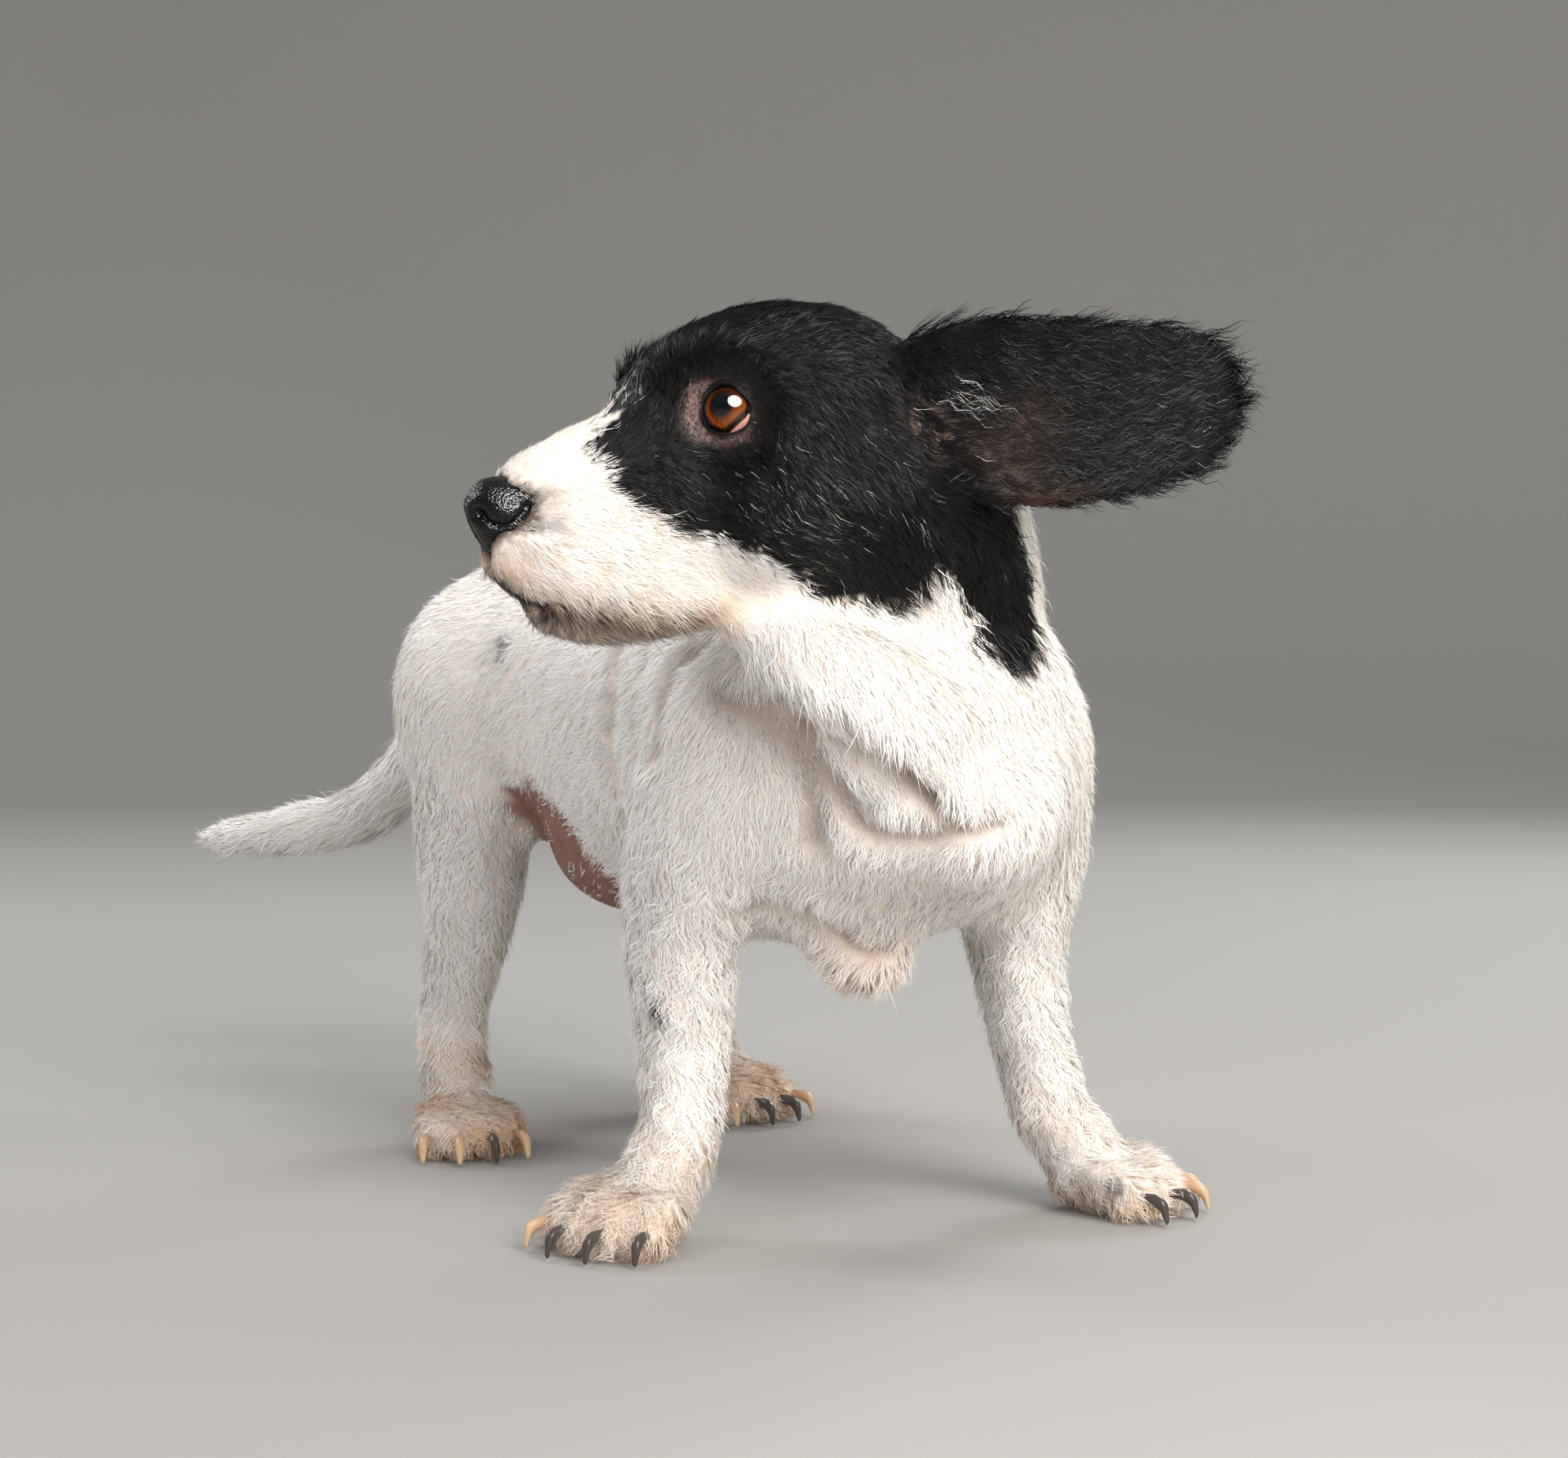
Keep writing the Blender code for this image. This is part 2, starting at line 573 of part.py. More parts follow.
def whole_flesh():
    """The dog's body in one piece, without its ears, eyes, nose and claws."""
    shapes = [
        limb(TRUNK, (1.0, 0.0, 0.0), 2.2),
        limb(NECK, (1.0, 0.0, 0.0), 2.1, (0.0, 0.6, 0.8)),
        limb(THROAT_FOLD, (0.0, 1.0, 0.0)),
        limb(BELLY, (1.0, 0.0, 0.0)),
        limb(TAIL, (1.0, 0.0, 0.0)),
        *head_shapes(),
        *[egg(*mass) for mass in MASSES],
    ]
    for legs in (FORELEGS, HINDLEGS):
        shapes += [leg_shape(rings) for rings in legs.values()]
    for paw in PAWS.values():
        shapes += paw_shapes(*paw)
    flesh = new_object("flesh", mesh_from(shapes, "flesh"))
    remesh = flesh.modifiers.new("join", "REMESH")
    remesh.mode = "VOXEL"
    remesh.voxel_size = VOXEL
    return thinned(applied(flesh))


# ---------------------------------------------------------------- parting
def islands(mesh):
    """Lists of the vertices of each connected body in the mesh."""
    shape = bmesh.new()
    shape.from_mesh(mesh)
    shape.verts.ensure_lookup_table()
    seen, found = set(), []
    for start in shape.verts:
        if start.index in seen:
            continue
        stack, body = [start], []
        seen.add(start.index)
        while stack:
            vert = stack.pop()
            body.append(vert.index)
            for edge in vert.link_edges:
                other = edge.other_vert(vert)
                if other.index not in seen:
                    seen.add(other.index)
                    stack.append(other)
        found.append(body)
    shape.free()
    return found


def keep_only(mesh, indices):
    """A copy of the mesh with only the given vertices."""
    shape = bmesh.new()
    shape.from_mesh(mesh)
    shape.verts.ensure_lookup_table()
    wanted = set(indices)
    bmesh.ops.delete(shape, geom=[v for v in shape.verts if v.index not in wanted], context="VERTS")
    made = bpy.data.meshes.new("piece")
    shape.to_mesh(made)
    shape.free()
    return made


def part_off(flesh, name, seed, slabs, surface):
    """Cuts with the slabs and makes the body nearest the seed point an object of its own.

    Chips, bodies of CHIP vertices or fewer, are thrown away.
    """
    cut(flesh, slabs)
    bodies = [body for body in islands(flesh.data) if len(body) > CHIP]
    places = np.array([v.co for v in flesh.data.vertices])
    gaps = [np.linalg.norm(places[body] - np.array(seed), axis=1).min() for body in bodies]
    chosen = int(np.argmin(gaps))
    if len(bodies) == 1:
        raise ValueError(f"{name} isn't parted from the rest")
    rest = [i for k, body in enumerate(bodies) if k != chosen for i in body]
    piece = new_object(name, keep_only(flesh.data, bodies[chosen]), surface)
    flesh.data = keep_only(flesh.data, rest)
    return piece


def head_point(forward, left, up):
    return HEAD @ Vector((forward, left, up))


def part_flesh(flesh):
    """Parts the flesh into named pieces with thin cuts."""
    white = material("coat_white", COAT_WHITE, 0.85)
    black = material("coat_black", COAT_BLACK, 0.7)
    mouth = [
        placed(slab((0.056, 0, -0.078), (-0.084, 0, 1), 0.060, 0.048), HEAD),
        placed(slab((-0.003, 0, -0.106), (1, 0, 0), 0.032, 0.048), HEAD),
    ]
    part_off(flesh, "jaw_lower", head_point(0.04, 0, -0.088), mouth, white)
    part_off(flesh, "head", head_point(0.05, 0, -0.03), [slab(*HEAD_CUT)], black)
    part_off(flesh, "neck", (-0.018, -0.150, 0.308), [slab(*NECK_CUT)], white)
    for name, seed, *shape in CUTS:
        part_off(flesh, name, seed, [slab(*shape)], white)
    part_off(flesh, "chest", (0.0, -0.15, 0.2), [slab(*WAIST_CUT)], white)
    flesh.name = "loin"
    flesh.hide_render = False
    flesh.display_type = "TEXTURED"
    flesh.data.materials.clear()
    flesh.data.materials.append(white)
    for paw, leg in LEG_OF_PAW.items():
        legs = bpy.data.objects[leg]
        heel = PAWS[paw][0]
        centre = (heel[0], heel[1], PAW_CUT_HEIGHT)
        part_off(legs, paw, heel, [slab(centre, (0, 0.15, 1), 0.05, 0.05)], white)


def clear_scene():
    for obj in list(bpy.data.objects):
        bpy.data.objects.remove(obj)


def main():
    clear_scene()
    flesh = whole_flesh()
    cut(flesh, [under_floor()])
    black = material("coat_black", COAT_BLACK, 0.7)
    amber = material("eye_amber", EYE_AMBER, 0.08)
    leather = material("nose_leather", NOSE_BLACK, 0.35)
    horn = {True: material("horn_dark", HORN_DARK, 0.4), False: material("horn_pale", HORN_PALE, 0.4)}
    cut(flesh, [eye_shape(1, CUT_GAP), eye_shape(-1, CUT_GAP), nose_shape(CUT_GAP)])
    cut(flesh, [ear_shape(RAISED_EAR, (0, 0, 1), CUT_GAP)])
    cut(flesh, [ear_shape(HANGING_EAR, (1, 0, 0), CUT_GAP)])
    claws = [(paw, toe) for paw in PAWS for toe in TOES]
    cut(flesh, [claw_shape(paw, toe, CUT_GAP) for paw, toe in claws])
    part_flesh(flesh)
    new_object("ear_left", mesh_from([ear_shape(RAISED_EAR, (0, 0, 1))], "ear_left"), black)
    new_object("ear_right", mesh_from([ear_shape(HANGING_EAR, (1, 0, 0))], "ear_right"), black)
    new_object("eye_left", mesh_from([eye_shape(1)], "eye_left"), amber)
    new_object("eye_right", mesh_from([eye_shape(-1)], "eye_right"), amber)
    nose = new_object("nose", mesh_from([nose_shape()], "nose"), leather)
    cut(nose, nostril_shapes())
    for paw, toe in claws:
        name = f"claw_{paw}_{toe}"
        new_object(name, mesh_from([claw_shape(paw, toe)], name), horn[toe in DARK_CLAWS[paw]])
    settle()


def settle():
    """Moves everything so the origin is the middle of the dog's box, on the floor."""
    pieces = [obj for obj in bpy.data.objects if not obj.hide_render]
    points = np.vstack([np.array([v.co for v in obj.data.vertices]) for obj in pieces])
    low, high = points.min(axis=0), points.max(axis=0)
    shift = Matrix.Translation((-(low[0] + high[0]) / 2, -(low[1] + high[1]) / 2, 0.0))
    for obj in pieces:
        obj.data.transform(shift)
    print("size", (high - low).round(4), "pieces", len(pieces))


main()
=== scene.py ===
# %% [markdown]
# # A small rough-coated dog, standing and looking back
# The solids of the dog come packed as a fixed frame, in metres, with the dog facing -Y, its left
# side at +X and its pads on the floor. They end at the tips of the coat. This script dresses them:
# one skin lies inside the solids by the depth of the coat, and the coat is made on it as tufts.
# The dressed dog has to stay inside it.

# %% Load the solids
import json
import math

import bpy
import numpy as np
from mathutils import Matrix, Vector

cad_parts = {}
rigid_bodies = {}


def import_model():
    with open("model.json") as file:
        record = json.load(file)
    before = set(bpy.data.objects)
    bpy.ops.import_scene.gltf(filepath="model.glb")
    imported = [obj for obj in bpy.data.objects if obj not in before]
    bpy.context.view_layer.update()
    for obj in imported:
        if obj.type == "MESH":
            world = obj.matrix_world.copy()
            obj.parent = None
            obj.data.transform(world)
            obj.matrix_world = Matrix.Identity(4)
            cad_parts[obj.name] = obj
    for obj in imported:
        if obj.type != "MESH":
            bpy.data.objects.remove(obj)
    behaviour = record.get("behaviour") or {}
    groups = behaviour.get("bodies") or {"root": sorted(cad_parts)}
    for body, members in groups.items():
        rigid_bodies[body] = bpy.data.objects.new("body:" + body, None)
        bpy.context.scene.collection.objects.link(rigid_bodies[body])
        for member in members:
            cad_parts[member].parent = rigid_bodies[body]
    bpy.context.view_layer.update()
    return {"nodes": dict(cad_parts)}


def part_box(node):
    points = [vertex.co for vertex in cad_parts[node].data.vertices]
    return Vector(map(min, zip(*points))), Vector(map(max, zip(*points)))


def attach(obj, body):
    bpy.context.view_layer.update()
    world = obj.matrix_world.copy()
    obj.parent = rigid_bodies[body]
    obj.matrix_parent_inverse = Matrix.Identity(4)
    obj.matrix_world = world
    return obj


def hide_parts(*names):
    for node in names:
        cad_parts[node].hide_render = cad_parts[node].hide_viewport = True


for leftover in list(bpy.data.objects):
    bpy.data.objects.remove(leftover)
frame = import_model()
chance = np.random.default_rng(11)

# %% [markdown]
# ## Small helpers
# Colours are written as sRGB hex values, as a paint chart gives them, and one function turns them
# into the linear light that the shaders work in. Another adds a shader node with its settings, its
# socket values and its incoming links, so that each material reads as a short list. The last lays
# colours over one another, as a painter glazes one thin layer on the next.

# %% Colours and shader nodes
def linear(paint, alpha=1.0):
    """The linear colour of an sRGB hex value: v / 12.92 when dark, ((v + 0.055) / 1.055) ^ 2.4 above."""
    parts = [int(paint[i : i + 2], 16) / 255 for i in (1, 3, 5)]
    return (*[v / 12.92 if v <= 0.04045 else ((v + 0.055) / 1.055) ** 2.4 for v in parts], alpha)


def add(tree, kind, values=None, links=None, **settings):
    """One new shader node, with its settings, socket values and incoming links."""
    made = tree.nodes.new(kind)
    for name, value in settings.items():
        setattr(made, name, value)
    for socket, value in (values or {}).items():
        made.inputs[socket].default_value = value
    for socket, source in (links or {}).items():
        tree.links.new(source, made.inputs[socket])
    return made


def surface(name, roughness, **values):
    """A new material, its node tree and its Principled shader, with plain socket values set."""
    made = bpy.data.materials.new(name)
    made.use_nodes = True
    shader = made.node_tree.nodes["Principled BSDF"]
    shader.inputs["Roughness"].default_value = roughness
    for socket, value in values.items():
        shader.inputs[socket.replace("_", " ")].default_value = value
    return made, made.node_tree, shader


def layered(tree, base, *layers):
    """A base colour with others laid over it in turn: base + share * (paint - base). A share is a
    number, a socket or the name of a number stored on the mesh; a colour is a hex value or a socket."""
    for share, paint in layers:
        if isinstance(share, str):
            share = add(tree, "ShaderNodeAttribute", attribute_name=share).outputs["Fac"]
        wanted = {0: share, 6: base, 7: paint}
        links = {k: v for k, v in wanted.items() if not isinstance(v, (str, float))}
        plain = {k: linear(v) if isinstance(v, str) else v for k, v in wanted.items() if k not in links}
        base = add(tree, "ShaderNodeMix", plain, links, data_type="RGBA").outputs[2]
    return base


print("sRGB mid grey in linear light", round(linear("#808080")[0], 3))

# %% [markdown]
# ## The head's own directions
# The head is turned far round to the right, so places on it are easier to give as forward to the
# nose, left and up, from the point between the eyes. Two small functions go to and fro. Places on
# the body are given from one spot on the floor, which is found from the eyes too.

# %% Head frame
HEAD_AXES = np.array([[-0.9945, 0.1045, 0.0], [-0.1045, -0.9945, 0.0], [0.0, 0.0, 1.0]])  # forward, left, up
EYES_BEHIND = 0.004  # from the head's own zero back to the eyes' centres
HEAD_FROM_SPOT = np.array([-0.07935, -0.23794, 0.358])  # the head's zero, seen from the spot


def unit(vectors):
    """The vectors made one long."""
    return vectors / np.maximum(np.linalg.norm(vectors, axis=-1, keepdims=True), 1e-12)


def centre_of(node):
    """The middle of a solid's box."""
    low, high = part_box(node)
    return np.array((low + high) / 2)


EYES = {"left": centre_of("eye_left"), "right": centre_of("eye_right")}
EYE_RADIUS = float((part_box("eye_left")[1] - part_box("eye_left")[0]).z) / 2
HEAD_PLACE = (EYES["left"] + EYES["right"]) / 2 + EYES_BEHIND * HEAD_AXES[0]
SPOT = HEAD_PLACE - HEAD_FROM_SPOT


def on_body(places):
    """Places given from the spot on the floor, as places in the dog's frame."""
    return np.asarray(places, float) + SPOT


def from_head(places):
    """Places given as (forward, left, up) in the head, as places in the dog's frame."""
    return np.asarray(places, float) @ HEAD_AXES + HEAD_PLACE


def to_head(points):
    """The (forward, left, up) of points given in the dog's frame."""
    return (points - HEAD_PLACE) @ HEAD_AXES.T


NOSE_PLACE = centre_of("nose")
print("eyes", {k: to_head(v).round(4).tolist() for k, v in EYES.items()}, "radius", round(EYE_RADIUS, 4))
print("nose", to_head(NOSE_PLACE).round(4).tolist(), "spot", SPOT.round(5).tolist())

# %% [markdown]
# ## Camera
# The dog is seen from a little in front of its right side, from about the height of its back and
# from a metre and a half away. A lens of 74 mm on a 36 mm sensor keeps the near paw from swelling.

# %% Camera
CAMERA_PLACE = on_body((-0.68065, -1.44184, 0.300))
CAMERA_TURN = math.radians(-28)
CAMERA_DIP = math.radians(3.15)
LENS = 73.88

camera = bpy.data.objects.new("camera", bpy.data.cameras.new("camera"))
bpy.context.collection.objects.link(camera)
camera.location = CAMERA_PLACE
camera.rotation_euler = (math.pi / 2 - CAMERA_DIP, 0, CAMERA_TURN)
camera.data.lens = LENS
camera.data.sensor_width = 36
bpy.context.scene.camera = camera
print("camera", CAMERA_PLACE.round(3), "lens", LENS)

# %% [markdown]
# ## Meshes from arrays
# Every shape here is worked out as whole arrays of numbers and handed to Blender in one go. A grid
# is the usual case: points in rows and columns, joined by quads, and closed on itself where the
# shape goes round.

# %% Mesh makers
def new_object(name, mesh, material=None):
    """An object for the mesh, at the origin, with smooth faces and one material."""
    made = bpy.data.objects.new(name, mesh)
    bpy.context.collection.objects.link(made)
    mesh.polygons.foreach_set("use_smooth", np.ones(len(mesh.polygons), bool))
    if material:
        mesh.materials.append(material)
    return made


def mesh_of(name, points, faces):
    """A mesh of the points and of faces that all have the same number of corners."""
    mesh = bpy.data.meshes.new(name)
    corners = faces.shape[1]
    mesh.vertices.add(len(points))
    mesh.vertices.foreach_set("co", np.ascontiguousarray(points, np.float32).ravel())
    mesh.loops.add(faces.size)
    mesh.loops.foreach_set("vertex_index", np.ascontiguousarray(faces, np.int32).ravel())
    mesh.polygons.add(len(faces))
    mesh.polygons.foreach_set("loop_start", np.arange(0, faces.size, corners, dtype=np.int32))
    mesh.polygons.foreach_set("loop_total", np.full(len(faces), corners, np.int32))
    mesh.update(calc_edges=True)
    return mesh


def grid_faces(rows, columns, round_rows=False, round_columns=False):
    """The quads of a grid of points: each joins (i, j), (i, j+1), (i+1, j+1) and (i+1, j)."""
    i = np.arange(rows if round_rows else rows - 1)[:, None]
    j = np.arange(columns if round_columns else columns - 1)[None]
    i, j = np.broadcast_arrays(i, j)
    after_i, after_j = (i + 1) % rows, (j + 1) % columns
    quads = [i * columns + j, i * columns + after_j, after_i * columns + after_j, after_i * columns + j]
    return np.stack(quads, -1).reshape(-1, 4)


def cap_faces(rows, columns):
    """The triangles that close both ends of a grid that goes round: from each end's row to a pole.
    The two poles are the points that come after the grid's own."""
    k = np.arange(columns)
    after = (k + 1) % columns
    last = (rows - 1) * columns
    top = np.stack([np.full(columns, rows * columns), k, after], 1)
    bottom = np.stack([np.full(columns, rows * columns + 1), last + after, last + k], 1)
    return np.vstack([top, bottom])


def attribute(mesh, name, values):
    """Stores one number for each vertex, for the materials to read."""
    mesh.attributes.new(name, "FLOAT", "POINT").data.foreach_set("value", np.asarray(values, np.float32))


print("a grid of 3 rows and 4 columns has", len(grid_faces(3, 4)), "quads")

# %% [markdown]
# ## Floor
# A round sweep of pale paper runs flat under the dog and curls up into a low wall far behind it, so
# that no edge shows from any side. It could be a plain sheet, but then its edge would show from
# behind. Its outline is a flat stretch, a quarter circle and a short wall, carried round upright.

# %% Floor
FLAT_RADIUS = 2.3
CURVE_RADIUS = 0.9
WALL_HEIGHT = 1.9
HOLE_RADIUS = 0.02  # filled by a small disc, floor_middle
FLOOR_SIDES = 96

turn = np.linspace(0, 2 * math.pi, FLOOR_SIDES + 1)[:-1]
bend = np.linspace(0, math.pi / 2, 17)
full_radius = FLAT_RADIUS + CURVE_RADIUS
reach = np.concatenate([[HOLE_RADIUS, 1.0], FLAT_RADIUS + CURVE_RADIUS * np.sin(bend), [full_radius]])
height = np.concatenate([[0.0, 0.0], CURVE_RADIUS * (1 - np.cos(bend)), [WALL_HEIGHT]])
sweep = np.stack(
    [reach[:, None] * np.cos(turn), reach[:, None] * np.sin(turn), height[:, None] + 0 * turn], -1
)
# Matt backdrop paper: it takes soft shadows and shows no gloss.
paper, tree, shader = surface("backdrop_paper_matt", 0.85)
shader.inputs["Base Color"].default_value = linear("#A3A19E")
floor_faces = grid_faces(len(reach), len(turn), round_columns=True)[:, ::-1]
floor_mesh = mesh_of("floor", sweep.reshape(-1, 3), floor_faces)
floor = new_object("floor", floor_mesh, paper)
middle = new_object("floor_middle", mesh_of("floor_middle", sweep[0], np.arange(len(turn))[None]), paper)
print("floor radius", full_radius, "wall height", WALL_HEIGHT)

# %% [markdown]
# ## Light
# One large soft light in front and above gives the shape its shade. A low one in front and one from
# the dog's right lift the shadows, one from above lights the back, and two from behind draw the
# edge of the coat. A broad round window stands where the first light is, but it is linked to the
# wet pieces alone and shows only as a gleam, so that eyes and nose shine and the coat stays soft.
# The pale surroundings do the rest.

# %% Light
LIGHTS = {
    # name: (place, target, size, power, colour, whether it shows in gloss)
    "key": ((0.02, -2.08, 1.60), (-0.02, -0.22, 0.26), 1.2, 44, "#FFFCF8", True),
    "front": ((0.40, -1.95, 0.62), (0.00, -0.15, 0.05), 1.2, 20, "#FFFAF4", False),
    "fill": ((-1.95, -1.15, 0.80), (0.0, -0.05, 0.18), 1.4, 17, "#F6F8FF", False),
    "rim_left": ((-1.1, 1.75, 1.35), (0.0, 0.05, 0.25), 0.8, 18, "#FFFFFF", True),
    "rim_right": ((1.75, 0.85, 1.25), (0.0, -0.05, 0.25), 0.8, 18, "#FFFFFF", True),
    "top": ((0.1, 0.1, 2.1), (0.0, 0.0, 0.2), 1.5, 17, "#FFFFFF", False),
    "window": ((0.02, -2.10, 1.62), (-0.02, -0.22, 0.26), 2.3, 280, "#FFFFFF", True),
}
AIR_BRIGHTNESS = 0.30

wet_pieces = bpy.data.collections.new("wet_pieces")
for name, (place, target, size, power, colour, shows) in LIGHTS.items():
    light = bpy.data.objects.new("light_" + name, bpy.data.lights.new("light_" + name, "AREA"))
    bpy.context.collection.objects.link(light)
    light.data.shape = "DISK" if name == "window" else "SQUARE"
    light.data.size = size
    light.data.energy = power
    light.data.color = linear(colour)[:3]
    light.location = place
    light.rotation_euler = (Vector(target) - Vector(place)).to_track_quat("-Z", "Y").to_euler()
    light.visible_camera = False
    light.visible_glossy = shows
    if name == "window":
        light.visible_diffuse = False
        light.light_linking.receiver_collection = wet_pieces
world = bpy.data.worlds.new("studio_air")
bpy.context.scene.world = world
world.use_nodes = True
world.node_tree.nodes["Background"].inputs["Color"].default_value = linear("#E9EBEE")
world.node_tree.nodes["Background"].inputs["Strength"].default_value = AIR_BRIGHTNESS
bpy.context.scene.view_settings.view_transform = "Standard"
print("lights", len(LIGHTS))

# %% [markdown]
# ## Solids as arrays
# The solids are read as arrays of points and triangles. Their corners are welded first, because a
# faceted solid keeps a point of its own for each face. The normal of a point is the sum of the area
# vectors of the faces round it. A ball is needed too, to fill each eye socket.

# %% Solids as arrays
def solid_arrays(node):
    """The welded points and triangles of a solid."""
    mesh = frame["nodes"][node].data
    points = np.empty(len(mesh.vertices) * 3)
    mesh.vertices.foreach_get("co", points)
    mesh.calc_loop_triangles()
    corners = np.empty(len(mesh.loop_triangles) * 3, np.int32)
    mesh.loop_triangles.foreach_get("vertices", corners)
    points, same = np.unique(points.reshape(-1, 3).round(6), axis=0, return_inverse=True)
    return points, same.ravel()[corners].reshape(-1, 3)


def point_normals(points, faces):
    """The average of the faces' area vectors round each point, made one long."""
    corners = points[faces]
    across = np.cross(corners[:, 2] - corners[:, 0], corners[:, -1] - corners[:, 1])
    if faces.shape[1] == 3:
        across = np.cross(corners[:, 1] - corners[:, 0], corners[:, 2] - corners[:, 0])
    total = np.zeros_like(points)
    for k in range(3):
        for c in range(faces.shape[1]):
            total[:, k] += np.bincount(faces[:, c], across[:, k], len(points))
    return unit(total)


def ball(place, radius, rings=24, sides=32):
    """Points and triangles of a closed ball: place + radius * (sin a cos b, sin a sin b, cos a)."""
    a = np.linspace(0.02, math.pi - 0.02, rings)[:, None]
    b = np.arange(sides) * 2 * math.pi / sides
    grid = np.stack([np.sin(a) * np.cos(b), np.sin(a) * np.sin(b), np.cos(a) + 0 * b], -1)
    quads = grid_faces(rings, sides, round_columns=True)[:, ::-1]
    points = np.vstack([place + radius * grid.reshape(-1, 3), place + [0, 0, radius], place - [0, 0, radius]])
    return points, np.vstack([quads[:, [0, 1, 2]], quads[:, [0, 2, 3]], cap_faces(rings, sides)])


print("solid of the head", len(solid_arrays("head")[1]), "triangles")

# %% [markdown]
# ## One skin from the solids
# The solids of flesh are parted by cuts as thin as a hair. Each is swollen by a fraction of a
# millimetre, so that they overlap, and Blender's voxel remesh turns the heap into one closed
# surface of even quads. A Boolean union could join them too, but it would keep the long thin facets
# and their uneven points. The solid of the nose is shrunk instead, because its leather is a piece
# of its own, and small balls in the sockets let the skin pass just under the eyeballs.

# %% Join the flesh
SKIN_VOXEL = 0.0029
SWELL = 0.0004
NOSE_SINK = 0.0016
SOCKET_GAP = 0.0012
FLESH = [n for n in frame["nodes"] if not n.startswith(("claw_", "eye_"))]


def mesh_numbers(items, key, kind, width):
    """One kind of number of a mesh's items, as an array of rows."""
    values = np.empty(len(items) * width, kind)
    items.foreach_get(key, values)
    return values.reshape(-1, width)


heap = []
for node in FLESH:
    node_points, node_faces = solid_arrays(node)
    swell = -NOSE_SINK if node == "nose" else SWELL
    heap.append((node_points + swell * point_normals(node_points, node_faces), node_faces))
heap += [ball(place, EYE_RADIUS - SOCKET_GAP) for place in EYES.values()]
starts = np.cumsum([0] + [len(points) for points, faces in heap])
heap_points = np.vstack([points for points, faces in heap])
heap_faces = np.vstack([faces + start for (points, faces), start in zip(heap, starts)])
heap_object = new_object("heap", mesh_of("heap", heap_points, heap_faces))
remesh = heap_object.modifiers.new("join", "REMESH")
remesh.mode = "VOXEL"
remesh.voxel_size = SKIN_VOXEL
joined = bpy.data.meshes.new_from_object(heap_object.evaluated_get(bpy.context.evaluated_depsgraph_get()))
bpy.data.objects.remove(heap_object)
skin_points = mesh_numbers(joined.vertices, "co", float, 3)
skin_faces = mesh_numbers(joined.loops, "vertex_index", np.int32, 1).reshape(-1, 4)
skin_edges = mesh_numbers(joined.edges, "vertices", np.int32, 2)
print("skin", len(skin_points), "points", len(skin_faces), "quads")

# %% [markdown]
# ## Iron the facets out
# The solids' flat facets still show in the skin. Plain smoothing moves each point to the mean of
# its neighbours, and would thin the ears and the toes. So each step towards that mean is followed
# by one a little longer back out, which leaves broad shapes as wide as they were.

# %% Iron the facets out
def mean_of_neighbours(values):
    """The average of each point's neighbours' values along the skin's edges."""
    a, b = skin_edges.T
    count = np.bincount(a, minlength=len(values)) + np.bincount(b, minlength=len(values))
    total = [
        np.bincount(a, values[b, k], len(values)) + np.bincount(b, values[a, k], len(values))
        for k in range(values.shape[1])
    ]
    return np.stack(total, 1) / count[:, None]


def spread(values, rounds):
    """Lets values soak into their neighbours, half at a time."""
    wide = values.reshape(len(values), -1).astype(float)
    for _ in range(rounds):
        wide = 0.5 * wide + 0.5 * mean_of_neighbours(wide)
    return wide.reshape(values.shape)


def iron(points, rounds, shrink=0.62, swell=-0.64):
    """Smooths without thinning: a step towards the neighbours' mean, then a step back out."""
    for _ in range(rounds):
        for step in (shrink, swell):
            points = points + step * (mean_of_neighbours(points) - points)
    return points


IRON_ROUNDS = 26
rough_points = skin_points
skin_points = iron(skin_points, IRON_ROUNDS)
print("moved by ironing, mm", round(1000 * np.linalg.norm(skin_points - rough_points, axis=1).mean(), 2))

# %% [markdown]
# ## Which part is which
# Hair differs from one part of the body to the next, so each bit of skin learns which solid it
# came from: the one with the nearest sample point. A search tree could find it as fast, but plain
# arrays of distances, a few million at a time, need no other library.

# %% Name each bit of skin
SAMPLE_REACH = 0.012
MOST_AT_ONCE = 8_000_000


def samples_of(node):
    """The corners, edge middles and face middles of a solid."""
    points, faces = solid_arrays(node)
    a, b, c = (points[faces[:, k]] for k in range(3))
    return np.vstack([points, (a + b) / 2, (b + c) / 2, (c + a) / 2, (a + b + c) / 3])


owner = np.zeros(len(skin_points), int)
nearest = np.full(len(skin_points), np.inf)
for number, node in enumerate(FLESH):
    spots = samples_of(node).astype(np.float32)
    low, high = spots.min(0) - SAMPLE_REACH, spots.max(0) + SAMPLE_REACH
    inside = np.flatnonzero(((skin_points > low) & (skin_points < high)).all(1))
    for part in np.array_split(inside, max(1, len(inside) * len(spots) // MOST_AT_ONCE)):
        here = skin_points[part].astype(np.float32)
        gap = ((here**2).sum(1)[:, None] - 2 * here @ spots.T + (spots**2).sum(1)).min(1)
        closer = gap < nearest[part]
        owner[part[closer]] = number
        nearest[part[closer]] = gap[closer]
owned = {node: owner == number for number, node in enumerate(FLESH)}
print({node: int(mine.sum()) for node, mine in owned.items()})

# %% [markdown]
# ## The coat, part by part
# The coat has been clipped: 11 to 13 mm on the body and legs, curlier on the legs and feet, close
# on the face, longest on the tail and the edges of the ears. Lift is the angle at which hair leaves
# the skin, depth is how far the skin lies inside the tips of the coat, and curl is how far a lock
# sways to the side. The rows soak into each other along the skin, so that no border shows.

